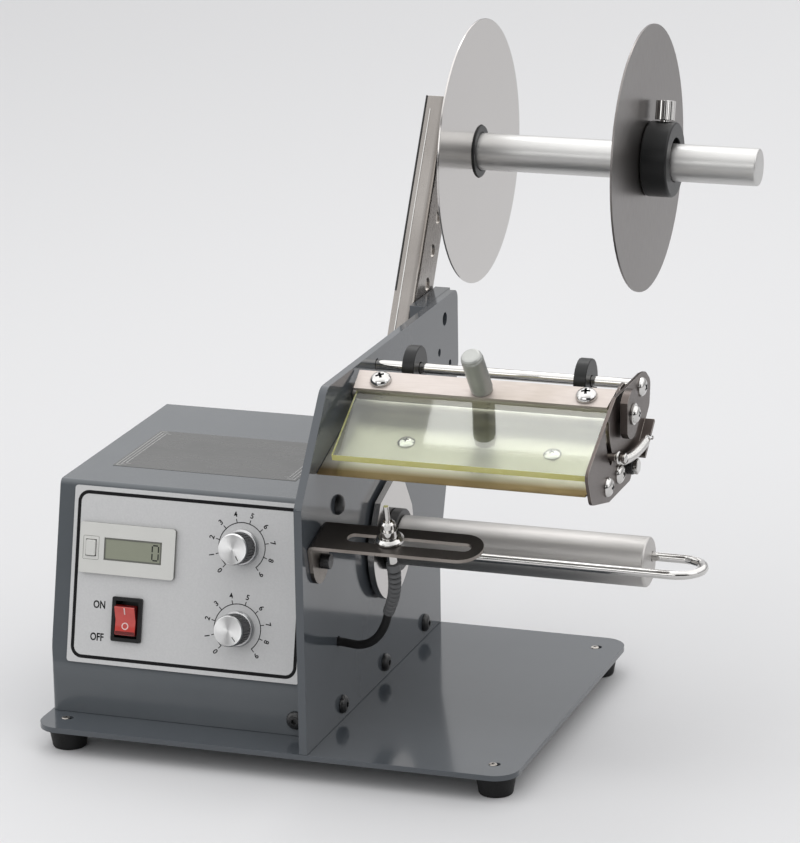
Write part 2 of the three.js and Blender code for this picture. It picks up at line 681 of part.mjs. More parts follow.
function makePanel() {
  const front = new THREE.Group();
  front.applyMatrix4(frontMatrix());
  machine.add(front);
  const panelBack = seatGap;
  const panelFace = panelBack + panelSheet;
  const dialPlaces = { length: lengthDialUp, speed: speedDialUp };

  const sheet = plate(withHoles(
    roundedRectangle(-panelLeft, panelFoot, panelLeft - panelRight, panelTop - panelFoot, panelCornerRadius),
    Object.values(dialPlaces).map((up) => [dialCentreX, up, dialBushRadius + runningGap]),
  ), panelSheet, boreSteps).translate(0, 0, panelBack);
  const cutDepth = panelFace * 3;
  add(front, "control_panel", cut(
    sheet,
    block(counterWidth - counterBodyInset, counterHeight - counterBodyInset, cutDepth)
      .translate(counterCentreX, counterCentreUp, 0),
    block(rockerFrameWidth - rockerBodyInset, rockerFrameHeight - rockerBodyInset, cutDepth)
      .translate(rockerCentreX, rockerCentreUp, 0),
  ), finishes.panelSilver);

  const counter = new THREE.Group();
  counter.position.set(counterCentreX, counterCentreUp, panelFace + seatGap);
  front.add(counter);
  const bodyInset = counterBodyInset + runningGap * 2;
  const counterBody = cut(
    join(
      plate(roundedRectangle(-counterWidth / 2, -counterHeight / 2, counterWidth, counterHeight,
        counterCornerRadius), counterBezel),
      block(counterWidth - bodyInset, counterHeight - bodyInset, counterDepth)
        .translate(0, 0, counterBezel / 2 - counterDepth / 2),
    ),
    block(windowWidth + seatGap * 2, windowHeight + seatGap * 2, windowRecess * 2)
      .translate(windowOffset, 0, counterBezel),
    block(resetWidth + runningGap * 2, resetHeight + runningGap * 2, resetLength * 2)
      .translate(resetOffset, 0, counterBezel),
  );
  add(counter, "counter_body", counterBody, finishes.greyPlastic);
  add(counter, "counter_window", block(windowWidth, windowHeight, windowThickness), finishes.displayGlass)
    .position.set(windowOffset, 0, counterBezel - windowRecess + seatGap + windowThickness / 2);
  const resetLow = resetTravel + seatGap - resetLength;
  const resetCap = roundedRectangle(-resetWidth / 2, -resetHeight / 2, resetWidth, resetHeight, resetWidth / 8);
  add(counter, "reset_button", plate(resetCap, resetProud - resetLow), finishes.greyPlastic)
    .position.set(resetOffset, 0, counterBezel + resetLow);

  const rockerGroup = new THREE.Group();
  rockerGroup.position.set(rockerCentreX, rockerCentreUp, panelFace + seatGap);
  front.add(rockerGroup);
  const rockerInset = rockerBodyInset + runningGap * 2;
  const pocketWidth = rockerFrameWidth - rockerFrameRim * 2;
  const pocketHeight = rockerFrameHeight - rockerFrameRim * 2;
  add(rockerGroup, "rocker_frame", cut(
    join(
      plate(roundedRectangle(-rockerFrameWidth / 2, -rockerFrameHeight / 2, rockerFrameWidth,
        rockerFrameHeight, rockerFrameRim / 2), rockerFrameProud),
      block(rockerFrameWidth - rockerInset, rockerFrameHeight - rockerInset, rockerBodyDepth)
        .translate(0, 0, rockerFrameProud / 2 - rockerBodyDepth / 2),
    ),
    block(pocketWidth, pocketHeight, rockerPocket * 2).translate(0, 0, rockerFrameProud),
  ), finishes.blackPlastic);

  const rocker = new THREE.Group();
  rocker.position.z = -rockerPivotDepth;
  rocker.rotation.x = rockerThrow;
  rockerGroup.add(rocker);
  const half = pocketHeight / 2 - runningGap * 3;
  const middle = rockerPivotDepth + rockerFrameProud + runningGap;
  const tip = middle + rockerProud;
  const drop = Math.tan(rockerThrow) * half;
  const rockerSide = roundedShape([
    [-half + drop, -rockerPivotDepth / 2], [half - drop, -rockerPivotDepth / 2], [half, middle],
    [half - drop / 2, tip, rockerProud / 4], [0, middle + drop / 2], [drop / 2 - half, tip, rockerProud / 4],
    [-half, middle],
  ]);
  const rockerWidth = pocketWidth - runningGap * 2;
  const rockerKey = plate(rockerSide, rockerWidth, 2).rotateY(Math.PI / 2).rotateX(Math.PI / 2)
    .translate(-rockerWidth / 2, 0, 0);
  add(rocker, "rocker_key", rockerKey, finishes.redLens);

  for (const [dial, up] of Object.entries(dialPlaces)) {
    const place = new THREE.Group();
    place.position.set(dialCentreX, up, 0);
    front.add(place);
    const nutFoot = panelFace + seatGap;
    const nutFace = nutFoot + dialNutHeight;
    add(place, `${dial}_potentiometer`, turned([
      [0, -housingSheet - seatGap - dialBodyDepth], [dialBodyRadius, -housingSheet - seatGap - dialBodyDepth],
      [dialBodyRadius, -housingSheet - seatGap], [dialBushRadius, -housingSheet - seatGap],
      [dialBushRadius, nutFoot], [dialNutRadius, nutFoot], [dialNutRadius, nutFace],
      [dialShaftRadius, nutFace], [dialShaftRadius, nutFoot + dialShaftLength], [0, nutFoot + dialShaftLength],
    ], smallRound), finishes.aluminium);
    const knobFoot = panelFace + runningGap;
    const knobFace = knobFoot + knobHeight;
    const boreTop = nutFoot + dialShaftLength + runningGap;
    add(place, `${dial}_knob`, turned([
      [0, boreTop], [dialShaftRadius + runningGap, boreTop], [dialShaftRadius + runningGap, knobFoot + knobRecess],
      [dialNutRadius + runningGap, knobFoot + knobRecess], [dialNutRadius + runningGap, knobFoot],
      [knobFootRadius, knobFoot], [knobFootRadius, knobFoot + knobSkirtHeight],
      [knobFaceRadius + knobChamfer / 2, knobFoot + knobSkirtHeight + knobChamfer],
      [knobFaceRadius, knobFace - knobChamfer], [knobFaceRadius - knobChamfer, knobFace], [0, knobFace],
    ]), finishes.aluminium);
  }
}

function makeElectrics() {
  const board = new THREE.Group();
  board.position.set(-boardLeft, boardFront, seatGap);
  machine.add(board);
  const places = [
    [standInset, standInset], [boardWidth - standInset, standInset],
    [standInset, boardDepth - standInset], [boardWidth - standInset, boardDepth - standInset],
  ];
  const sheet = block(boardWidth, boardDepth, boardThickness)
    .translate(boardWidth / 2, boardDepth / 2, boardStand + boardThickness / 2);
  const stands = places.map(([x, y]) => round(standRadius, boardStand + boardThickness, 6).translate(x, y, 0));
  const cans = boardPartShares.map(([acrossShare, alongShare]) =>
    round(boardWidth * boardPartRadiusShare, boardThickness / 2 + boardPartHeight, smallRound)
      .translate(boardWidth * acrossShare, boardDepth * alongShare, boardStand + boardThickness / 2));
  add(board, "circuit_board", join(sheet, ...stands, ...cans), finishes.greenBoard);

  const transformer = new THREE.Group();
  transformer.position.set(-transformerLeft, transformerFront, seatGap);
  machine.add(transformer);
  const coilDepth = transformerDepth * transformerCoilShare;
  const coreFoot = transformerFootThickness;
  add(transformer, "transformer", join(
    block(transformerWidth, transformerDepth, coreFoot)
      .translate(transformerWidth / 2, transformerDepth / 2, coreFoot / 2),
    block(transformerWidth - coreFoot * 2, coilDepth, transformerHeight)
      .translate(transformerWidth / 2, transformerDepth / 2, transformerHeight / 2),
    plate(roundedRectangle(coreFoot * 2, -transformerCoilHeight / 2, transformerWidth - coreFoot * 4,
      transformerCoilHeight, coreFoot), transformerDepth - coreFoot * 2, 2)
      .rotateX(Math.PI / 2).translate(0, transformerDepth - coreFoot, transformerHeight / 2),
  ), finishes.blackPlastic);

  const back = new THREE.Group();
  back.applyMatrix4(backMatrix());
  machine.add(back);
  const inlet = new THREE.Group();
  inlet.position.set(-inletCentreX, inletCentreUp, seatGap);
  back.add(inlet);
  const pins = [-inletPinSpacing, 0, inletPinSpacing].map((across) =>
    block(inletPinWidth, inletPinHeight, inletPinLength + overrun)
      .translate(across, across === 0 ? inletPinHeight / 2 : -inletPinHeight / 2,
        inletFlangeThickness - inletSocketDepth + (inletPinLength - overrun) / 2));
  const shellAndSocket = cut(
    join(
      plate(roundedRectangle(-inletWidth / 2 - inletFlange, -inletHeight / 2 - inletFlange,
        inletWidth + inletFlange * 2, inletHeight + inletFlange * 2, inletFlange), inletFlangeThickness),
      block(inletWidth - seatGap, inletHeight - seatGap, inletDepth)
        .translate(0, 0, inletFlangeThickness / 2 - inletDepth / 2),
    ),
    block(inletSocketWidth, inletSocketHeight, inletSocketDepth + overrun)
      .translate(0, 0, inletFlangeThickness + (overrun - inletSocketDepth) / 2),
  );
  add(inlet, "power_inlet", join(shellAndSocket, ...pins), finishes.blackPlastic);
}

function makeTakeUp() {
  const drive = sideGroup(0, rollerAxisDepth, rollerAxisHeight);
  machine.add(drive);
  const shaftBore = driveShaftRadius + runningGap;
  const gearBack = -seatGap - motorGearLength;
  const canBack = gearBack - motorCanLength;
  add(drive, "gear_motor", turned([
    [0, canBack - motorCapLength], [motorCapRadius, canBack - motorCapLength], [motorCapRadius, canBack],
    [motorCanRadius, canBack], [motorCanRadius, gearBack], [motorGearRadius, gearBack],
    [motorGearRadius, -seatGap], [shaftBore, -seatGap], [shaftBore, -driveShaftBack - runningGap],
    [0, -driveShaftBack - runningGap],
  ]), finishes.aluminium);
  add(drive, "drive_shaft", round(driveShaftRadius, driveShaftBack + driveShaftFront, smallRound), finishes.aluminium)
    .position.z = -driveShaftBack;

  // The guide disc is round below and cut to straight facets above
  const discFace = plateThickness + guideDiscOffset;
  const rim = new THREE.Shape();
  const facets = guideFacetAngles.map((angle) => THREE.MathUtils.degToRad(angle));
  const firstFacet = facets[facets.length - 1];
  rim.absarc(0, 0, guideDiscRadius, facets[0], firstFacet + 2 * Math.PI, false);
  for (const angle of facets.slice(1, -1).reverse()) {
    rim.lineTo(guideDiscRadius * Math.cos(angle), guideDiscRadius * Math.sin(angle));
  }
  rim.closePath();
  add(drive, "guide_disc", plate(withHoles(rim, [[0, 0, shaftBore]]), guideDiscThickness, boreSteps * 2),
    finishes.stainless).position.z = discFace;

  const hubFoot = discFace + guideDiscThickness + seatGap;
  add(drive, "roller_hub", turnedRing([[hubRadius, 0], [hubRadius, hubLength]], shaftBore), finishes.blackPlastic)
    .position.z = hubFoot;

  const rollerStart = hubFoot + hubLength + seatGap;
  const frontOffset = clipRearOffset - clipSpacing;
  const legBore = round(clipWireRadius + runningGap, rollerEnd, 12)
    .translate(clipRearOffset, clipRise, clipRearStart - runningGap);
  const roller = turned([
    [0, driveShaftFront + runningGap], [shaftBore, driveShaftFront + runningGap], [shaftBore, rollerStart],
    [rollerRadius, rollerStart], [rollerRadius, rollerEnd - rollerChamfer],
    [rollerRadius - rollerChamfer, rollerEnd], [0, rollerEnd],
  ]);
  add(drive, "take_up_roller", cut(roller, legBore), finishes.aluminium);

  // The clip is one wire: a leg in the roller's bore, a round bend beyond the roller and a leg beside it
  const bendRadius = clipSpacing / 2;
  const bendCentre = clipReach - bendRadius;
  const bendPoints = [];
  for (let step = 0; step <= boreSteps * 2; step += 1) {
    const turn = (Math.PI * step) / (boreSteps * 2);
    bendPoints.push(new THREE.Vector3(
      clipRearOffset - bendRadius + bendRadius * Math.cos(turn), clipRise, bendCentre + bendRadius * Math.sin(turn),
    ));
  }
  const wirePath = new THREE.CurvePath();
  wirePath.add(new THREE.LineCurve3(new THREE.Vector3(clipRearOffset, clipRise, clipRearStart), bendPoints[0]));
  for (let step = 1; step < bendPoints.length; step += 1) {
    wirePath.add(new THREE.LineCurve3(bendPoints[step - 1], bendPoints[step]));
  }
  wirePath.add(new THREE.LineCurve3(bendPoints[bendPoints.length - 1],
    new THREE.Vector3(frontOffset, clipRise, clipFrontStart)));
  const wireSection = new THREE.Shape().absarc(0, 0, clipWireRadius, 0, 2 * Math.PI);
  add(drive, "liner_clip", new THREE.ExtrudeGeometry(wireSection, {
    steps: wirePath.curves.length * 4, curveSegments: 4, extrudePath: wirePath,
  }), finishes.stainless);
}

function makeStrut() {
  const webFace = -seatGap * 2 - blockThickness;
  add(side, "spacer_block", plate(withHoles(
    roundedRectangle(blockFront, blockFoot, plateTopRear - blockFront, plateHeight + seatGap - blockFoot, 0),
    [3, 4].map((number) => [...strutHole(number), boltShankRadius + seatGap]),
  ), blockThickness, boreSteps), finishes.platePaint).position.z = -seatGap - blockThickness;

  const strut = sideGroup(webFace, spindleAxisDepth, spindleAxisHeight, strutLean);
  machine.add(strut);
  const holes = [[0, 0, bearingNeckRadius + seatGap]];
  for (let number = 0; number < strutHoleCount; number += 1) {
    holes.push([strutHoleShift, -strutFirstHole - number * strutHolePitch, strutHoleRadius]);
  }
  const height = strutTop + strutFoot;
  const web = plate(withHoles(roundedRectangle(-strutWidth / 2, -strutFoot, strutWidth, height, 0), holes),
    strutSheet, boreSteps).translate(0, 0, -strutSheet);
  const flanges = [-1, 1].map((end) => block(strutSheet, height, strutFlange).translate(
    (end * (strutWidth - strutSheet)) / 2, (strutTop - strutFoot) / 2, -strutFlange / 2));
  add(strut, "roll_strut", join(web, ...flanges), finishes.stainless);

  ["strut_bolt_upper", "strut_bolt_lower"].forEach((name, index) => {
    const shankLength = strutSheet + blockThickness - boltTip;
    const headFoot = -strutSheet - seatGap;
    const bolt = turned([
      [0, headFoot - boltHeadHeight], [boltHeadRadius * 0.8, headFoot - boltHeadHeight],
      [boltHeadRadius, headFoot - boltHeadHeight / 2], [boltHeadRadius, headFoot], [boltShankRadius, headFoot],
      [boltShankRadius, headFoot + shankLength], [0, headFoot + shankLength],
    ], smallRound);
    add(strut, name, bolt, finishes.stainless)
      .position.set(strutHoleShift, -strutFirstHole - (3 + index) * strutHolePitch, 0);
  });
  return webFace;
}

function makeSpindle(webFace) {
  const spindle = sideGroup(0, spindleAxisDepth, spindleAxisHeight);
  machine.add(spindle);
  const webBack = webFace - strutSheet;
  const bearingBack = webBack - seatGap - bearingFlangeThickness;
  add(spindle, "spindle_bearing", turnedRing([
    [bearingFlangeRadius, bearingBack], [bearingFlangeRadius, webBack - seatGap],
    [bearingNeckRadius, webBack - seatGap], [bearingNeckRadius, webFace],
  ], journalRadius + runningGap), finishes.blackPlastic);
  const retainerFace = bearingBack - runningGap;
  add(spindle, "spindle_retainer", turnedRing([
    [retainerRadius, retainerFace - retainerThickness], [retainerRadius, retainerFace],
  ], journalRadius + seatGap), finishes.stainless);
  add(spindle, "roll_spindle", turned([
    [0, -journalBack], [journalRadius, -journalBack], [journalRadius, -spindleShoulder],
    [spindleRadius, -spindleShoulder], [spindleRadius, spindleEnd - spindleChamfer],
    [spindleRadius - spindleChamfer, spindleEnd], [0, spindleEnd],
  ]), finishes.aluminium);

  const shaftBore = spindleRadius + runningGap;
  const flangeFace = innerDiscFace - seatGap;
  const hubFace = innerDiscFace + discThickness + innerHubProud;
  add(spindle, "inner_disc", plate(
    withHoles(new THREE.Shape().absarc(0, 0, discRadius, 0, 2 * Math.PI), [[0, 0, innerHubRadius + seatGap]]),
    discThickness, bigRound / 2), finishes.stainless).position.z = innerDiscFace;
  add(spindle, "inner_hub", turnedRing([
    [innerHubFlangeRadius, flangeFace - innerHubFlangeThickness], [innerHubFlangeRadius, flangeFace],
    [innerHubRadius, flangeFace], [innerHubRadius, hubFace],
  ], shaftBore), finishes.blackPlastic);

  // The thumbscrew pulls the outer side up by the play in its wide bore
  const outerSide = new THREE.Group();
  outerSide.position.y = collarPlay;
  spindle.add(outerSide);
  const wideBore = shaftBore + collarPlay;
  add(outerSide, "outer_disc", plate(
    withHoles(new THREE.Shape().absarc(0, 0, discRadius, 0, 2 * Math.PI), [[0, 0, wideBore]]),
    discThickness, bigRound / 2), finishes.stainless).position.z = outerDiscFace;
  const collarFoot = outerDiscFace + discThickness + seatGap;
  const collarMiddle = collarFoot + collarLength / 2;
  const screwGroup = new THREE.Group();
  screwGroup.position.z = collarMiddle;
  screwGroup.rotation.z = thumbscrewLean;
  outerSide.add(screwGroup);
  screwGroup.updateMatrix();
  const screwBore = round(thumbscrewShank + runningGap, collarRadius * 2, smallRound).rotateX(-Math.PI / 2);
  const collar = turnedRing([
    [collarRadius - collarChamfer, collarFoot], [collarRadius, collarFoot + collarChamfer],
    [collarRadius, collarFoot + collarLength - collarChamfer], [collarRadius - collarChamfer, collarFoot + collarLength],
  ], wideBore);
  add(outerSide, "outer_collar", cut(collar, screwBore.applyMatrix4(screwGroup.matrix)), finishes.blackPlastic);

  // The thumbscrew's head is fluted
  const fluted = new THREE.Shape();
  for (let flute = 0; flute < thumbscrewFlutes * 2; flute += 1) {
    const angle = (Math.PI * flute) / thumbscrewFlutes;
    const radius = thumbscrewRadius - (flute % 2) * thumbscrewFluteDepth;
    if (flute === 0) fluted.moveTo(radius, 0);
    else fluted.lineTo(radius * Math.cos(angle), radius * Math.sin(angle));
  }
  fluted.closePath();
  const headFoot = collarRadius + thumbscrewLift;
  const shankFoot = shaftBore - collarPlay * Math.cos(thumbscrewLean);
  add(screwGroup, "thumbscrew", join(
    plate(fluted, thumbscrewHead).translate(0, 0, headFoot),
    round(thumbscrewShank, headFoot + overrun - shankFoot, smallRound).translate(0, 0, shankFoot),
  ).rotateX(-Math.PI / 2), finishes.chrome);
}

// A point of the peel plate: its distance up the slope from the edge, and its depth below the surface.
function onPeel(along, below) {
  return [
    peelEdgeDepth + along * Math.cos(peelSlope) + below * Math.sin(peelSlope),
    peelEdgeHeight + along * Math.sin(peelSlope) - below * Math.cos(peelSlope),
  ];
}

const endPlateCorners = endPlateShares.map(([depthShare, heightShare, radiusShare]) => [
  endPlateFront + endPlateDepth * depthShare, endPlateFoot + endPlateHeight * heightShare,
  endPlateDepth * radiusShare,
]);
const earEdgeStart = new THREE.Vector2(endPlateCorners[1][0], endPlateCorners[1][1]);
const earEdge = new THREE.Vector2(endPlateCorners[2][0], endPlateCorners[2][1]).sub(earEdgeStart);

function makePeelHead() {
  const headStart = plateThickness + seatGap;
  const headLength = headEnd - seatGap - headStart;
  const peelOutline = roundedShape([
    onPeel(0, 0), onPeel(peelBevel, peelSheet), onPeel(peelLength, peelSheet), onPeel(peelLength, 0),
  ]);
  const endGap = headEnd - headNotchStart;
  const notch = block(plateRearCorner, plateHeight, endGap).translate(plateRearCorner / 2, 0, endGap / 2);
  const [notchDepth] = onPeel(peelNotchFront, 0);
  add(side, "peel_plate", cut(
    plate(peelOutline, headLength).translate(0, 0, headStart),
    notch.clone().translate(notchDepth, peelEdgeHeight, headNotchStart),
  ), finishes.stainless);

  const barTop = (depth) => peelEdgeHeight + (depth - peelEdgeDepth) * Math.tan(peelSlope)
    - (peelSheet + seatGap) / Math.cos(peelSlope);
  const barOutline = roundedShape([
    [barFront, barFoot, barEdgeRadius], [barRear, barFoot, barEdgeRadius],
    [barRear, barTop(barRear), barEdgeRadius], [barFront, barTop(barFront), barEdgeRadius],
  ]);
  add(side, "cross_bar", cut(
    plate(barOutline, headLength).translate(0, 0, headStart),
    notch.clone().translate(0, barNotchFoot + plateHeight / 2, headNotchStart),
  ), finishes.aluminium);

  // The end plate, with a curved slot for the arm's pin and an ear bent outwards for the spring
  const endOutline = withHoles(roundedShape(endPlateCorners), [[hingeDepth, hingeHeight, pivotRadius + runningGap]]);
  const pinSwing = Math.hypot(...pinPlace);
  const closedAngle = Math.atan2(pinPlace[1], pinPlace[0]) + 2 * Math.PI;
  const slotEnd = slotRadius / pinSwing / 2;
  const openAngle = closedAngle - coverOpening - slotEnd;
  const lowAngle = closedAngle + slotEnd;
  const pinSlot = new THREE.Path();
  pinSlot.absarc(hingeDepth, hingeHeight, pinSwing + slotRadius, openAngle, lowAngle, false);
  pinSlot.absarc(hingeDepth + pinSwing * Math.cos(lowAngle), hingeHeight + pinSwing * Math.sin(lowAngle),
    slotRadius, lowAngle, lowAngle + Math.PI, false);
  pinSlot.absarc(hingeDepth, hingeHeight, pinSwing - slotRadius, lowAngle, openAngle, true);
  pinSlot.absarc(hingeDepth + pinSwing * Math.cos(openAngle), hingeHeight + pinSwing * Math.sin(openAngle),
    slotRadius, openAngle + Math.PI, openAngle + 2 * Math.PI, false);
  endOutline.holes.push(pinSlot);
  const earMiddle = earEdge.length() * earEndShare + earLength / 2;
  const ear = block(earLength, earSheet, earProud + endPlateThickness / 2)
    .translate(earMiddle, earSheet / 2 - seatGap, endPlateThickness * 0.75 + earProud / 2)
    .rotateZ(earEdge.angle()).translate(earEdgeStart.x, earEdgeStart.y, 0);
  const eye = round(eyeRadius, strutFoot, 12).translate(0, 0, -strutFoot / 2).rotateX(Math.PI / 2)
    .rotateZ(earEdge.angle()).translate(eyePlace[0], eyePlace[1], springPlane - headEnd);
  const blank = join(plate(endOutline, endPlateThickness, boreSteps / 2), ear);
  add(side, "end_plate", cut(blank, eye), finishes.stainless).position.z = headEnd;

  add(side, "guide_rod", round(rodRadius, headEnd - seatGap * 2, smallRound), finishes.chrome)
    .position.set(rodDepth, rodHeight, seatGap);
  const arch = new THREE.Shape();
  const flatAngle = Math.asin(guideFlat / guideRadius);
  const slitAngle = Math.asin(guideSlit / 2 / (rodRadius + runningGap));
  arch.absarc(0, 0, guideRadius, -flatAngle, Math.PI + flatAngle, false);
  arch.lineTo(-guideSlit / 2, -guideFlat);
  arch.absarc(0, 0, rodRadius + runningGap, -Math.PI / 2 - slitAngle, slitAngle - Math.PI / 2, true);
  arch.lineTo(guideSlit / 2, -guideFlat);
  arch.closePath();
  const guidePlaces = { label_guide_left: leftGuideAt, label_guide_right: rightGuideAt };
  for (const [name, at] of Object.entries(guidePlaces)) {
    add(side, name, plate(arch, guideThickness, boreSteps), finishes.blackPlastic)
      .position.set(rodDepth, rodHeight, at);
  }
}

function makeCover() {
  const cover = sideGroup(0, hingeDepth, hingeHeight, -coverSlope);
  machine.add(cover);
  const glassTop = coverUnderside + coverThickness;
  const stripFoot = glassTop + seatGap / 2;
  const stripFace = stripFoot + stripSheet;
  const coverRight = headEnd - coverEndGap;
  const screwPlaces = {
    strip_screw_left: stripLeft + stripScrewInset,
    strip_screw_right: stripRight - stripScrewInset,
  };
  const fasteners = [...Object.values(screwPlaces).map((at) => [stripScrewShift, at, stripScrewShank]),
    [handleShift, handleAt, handleStudRadius]];
  const bores = () => fasteners.map(([shift, at, radius]) =>
    round(radius + runningGap, stripFace * 4, 12).translate(0, 0, -stripFace * 2).rotateX(-Math.PI / 2)
      .translate(shift, 0, at));

  // Sheets of the cover are drawn in plan, with the slope across and the machine's width upwards
  const laid = (shape, thickness, under) => plate(shape, thickness).rotateX(Math.PI / 2)
    .translate(0, under + thickness, 0);
  const notchSide = headNotchStart;
  const glassShape = roundedShape([
    [-coverReach, coverLeftFront], [coverBack, coverLeftBack], [coverBack, notchSide],
    [-coverNotchFront, notchSide], [-coverNotchFront, coverRight], [-coverReach, coverRight],
  ]);
  add(cover, "clear_cover", cut(laid(glassShape, coverThickness, coverUnderside), ...bores()), finishes.clearYellow);
  const stripShape = roundedShape([
    [-stripFront, stripLeft + stripEndSlant], [stripBack, stripLeft], [stripBack, stripRight],
    [-stripFront, stripRight - stripEndSlant],
  ]);
  add(cover, "clamp_strip", cut(laid(stripShape, stripSheet, stripFoot), ...bores()), finishes.stainless);

  const barTop = coverUnderside - seatGap / 2;
  const barSection = roundedRectangle(-hingeBarWidth / 2, -hingeBarDrop, hingeBarWidth, hingeBarDrop + barTop,
    hingeBarRadius);
  const linkFace = linkFoot + linkThickness;
  const pivotLeft = runningGap;
  const pivotRight = linkFace - seatGap;
  const screwFoot = linkFace + seatGap;
  add(cover, "hinge_bar", cut(
    join(
      plate(barSection, hingeBarEnd - hingeBarStart).translate(0, 0, hingeBarStart),
      round(pivotRadius, hingeBarStart + overrun - pivotLeft, smallRound).translate(0, 0, pivotLeft),
      round(pivotRadius, pivotRight + overrun - hingeBarEnd, smallRound).translate(0, 0, hingeBarEnd - overrun),
    ),
    round(linkScrewShank + seatGap, linkScrewDepth + overrun, 12)
      .translate(0, 0, screwFoot - linkScrewDepth - seatGap),
    ...bores(),
  ), finishes.stainless);

  const screw = turned([
    [0, -stripScrewDepth], [stripScrewShank, -stripScrewDepth], [stripScrewShank, 0], [stripScrewRadius, 0],
    [stripScrewRadius, stripScrewDome * 0.3], [stripScrewRadius * 0.75, stripScrewDome * 0.8],
    [stripScrewRadius * 0.35, stripScrewDome], [0, stripScrewDome],
  ], smallRound).rotateX(-Math.PI / 2);
  for (const [name, at] of Object.entries(screwPlaces)) {
    add(cover, name, screw.clone(), finishes.chrome).position.set(stripScrewShift, stripFace + seatGap / 2, at);
  }
  // The handle leans on its stud, with its foot cut flat where it sits on the strip
  const grip = turned([
    [0, -handleRadius / 2], [handleRadius, -handleRadius / 2], [handleRadius, handleLength - handleCrown],
    [handleRadius - handleCrown, handleLength], [0, handleLength],
  ]).rotateX(-Math.PI / 2).rotateX(handleSideLean).rotateZ(handleForwardLean);
  const aboveStrip = block(handleLength * 2, handleLength * 2, handleLength * 2).translate(0, handleLength, 0);
  const stud = round(handleStudRadius, handleStudDepth + handleLength / 2, smallRound).rotateX(-Math.PI / 2)
    .translate(0, -handleStudDepth, 0);
  add(cover, "lift_handle", join(common(grip, aboveStrip), stud), finishes.aluminium)
    .position.set(handleShift, stripFace + seatGap / 2, handleAt);

  // The link turns with the hinge bar outside the end plate, and the arm with its pin inside it
  const hinge = sideGroup(0, hingeDepth, hingeHeight);
  machine.add(hinge);
  const bossFoot = headEnd + endPlateThickness + runningGap;
  const linkBore = round(pivotRadius + seatGap, linkFace, smallRound);
  add(hinge, "hinge_link", cut(
    join(
      common(round(linkRadius, linkThickness), block(linkHalfWidth * 2, linkRadius * 3, linkFace))
        .translate(0, 0, linkFoot),
      round(linkBossRadius, linkFoot + overrun - bossFoot, smallRound).translate(0, 0, bossFoot),
    ),
    linkBore.clone().translate(0, 0, bossFoot - overrun),
  ), finishes.stainless);
  add(hinge, "link_screw", turned([
    [0, -linkScrewDepth], [linkScrewShank, -linkScrewDepth], [linkScrewShank, 0], [linkWasherRadius, 0],
    [linkWasherRadius, linkWasher], [linkScrewRadius, linkWasher],
    [linkScrewRadius * 0.85, linkWasher + linkScrewHead * 0.7], [linkScrewRadius * 0.45, linkWasher + linkScrewHead],
    [0, linkWasher + linkScrewHead],
  ], smallRound), finishes.chrome).position.z = screwFoot;
  const armFace = armStart + armSheet;
  const pinLength = pinReach - armFace;
  const pinWaist = pinLength * pinWaistShare;
  const pin = turned([
    [0, -armSheet / 2], [pinRadius, -armSheet / 2], [pinRadius, springPlane - armFace - pinWaist / 2],
    [pinWaistRadius, springPlane - armFace - pinWaist / 4],
    [pinWaistRadius, springPlane - armFace + pinWaist / 4],
    [pinRadius, springPlane - armFace + pinWaist / 2], [pinRadius, pinLength], [0, pinLength],
  ], smallRound);
  add(hinge, "hinge_arm", cut(
    join(plate(roundedShape(armOutline), armSheet).translate(0, 0, armStart),
      pin.translate(pinPlace[0], pinPlace[1], armFace)),
    linkBore.clone().translate(0, 0, armStart - linkFace / 2),
  ), finishes.stainless);
}

// A tube of few sides through the points, as one closed surface.
function wireThrough(points, radius, sides) {
  const positions = [];
  const index = [];
  const tangents = points.map((point, i) =>
    points[Math.min(i + 1, points.length - 1)].clone().sub(points[Math.max(i - 1, 0)]).normalize());
  let normal = new THREE.Vector3(0, 0, 1);
  points.forEach((point, i) => {
    normal = normal.addScaledVector(tangents[i], -normal.dot(tangents[i])).normalize();
    const binormal = tangents[i].clone().cross(normal);
    for (let corner = 0; corner < sides; corner += 1) {
      const angle = (2 * Math.PI * corner) / sides;
      const at = point.clone().addScaledVector(normal, radius * Math.cos(angle))
        .addScaledVector(binormal, radius * Math.sin(angle));
      positions.push(at.x, at.y, at.z);
    }
  });
  for (let ring = 0; ring + 1 < points.length; ring += 1) {
    for (let corner = 0; corner < sides; corner += 1) {
      const next = (corner + 1) % sides;
      const [a, b] = [ring * sides + corner, ring * sides + next];
      index.push(a, b, b + sides, a, b + sides, a + sides);
    }
  }
  const last = (points.length - 1) * sides;
  for (let corner = 1; corner + 1 < sides; corner += 1) {
    index.push(0, corner + 1, corner, last, last + corner, last + corner + 1);
  }
  const geometry = new THREE.BufferGeometry();
  geometry.setAttribute("position", new THREE.Float32BufferAttribute(positions, 3));
  geometry.setIndex(index);
  geometry.computeVertexNormals();
  return geometry;
}

// The least gap between stretches of the wire that lie more than a turn's third apart along it.
function leastGap(points, radius, apart) {
  let least = Infinity;
  let along = [0];
  points.forEach((point, i) => {
    if (i > 0) along.push(along[i - 1] + point.distanceTo(points[i - 1]));
  });
  points.forEach((point, i) => points.forEach((other, j) => {
    if (along[j] - along[i] > apart) least = Math.min(least, point.distanceTo(other) - 2 * radius);
  }));
  return least;
}

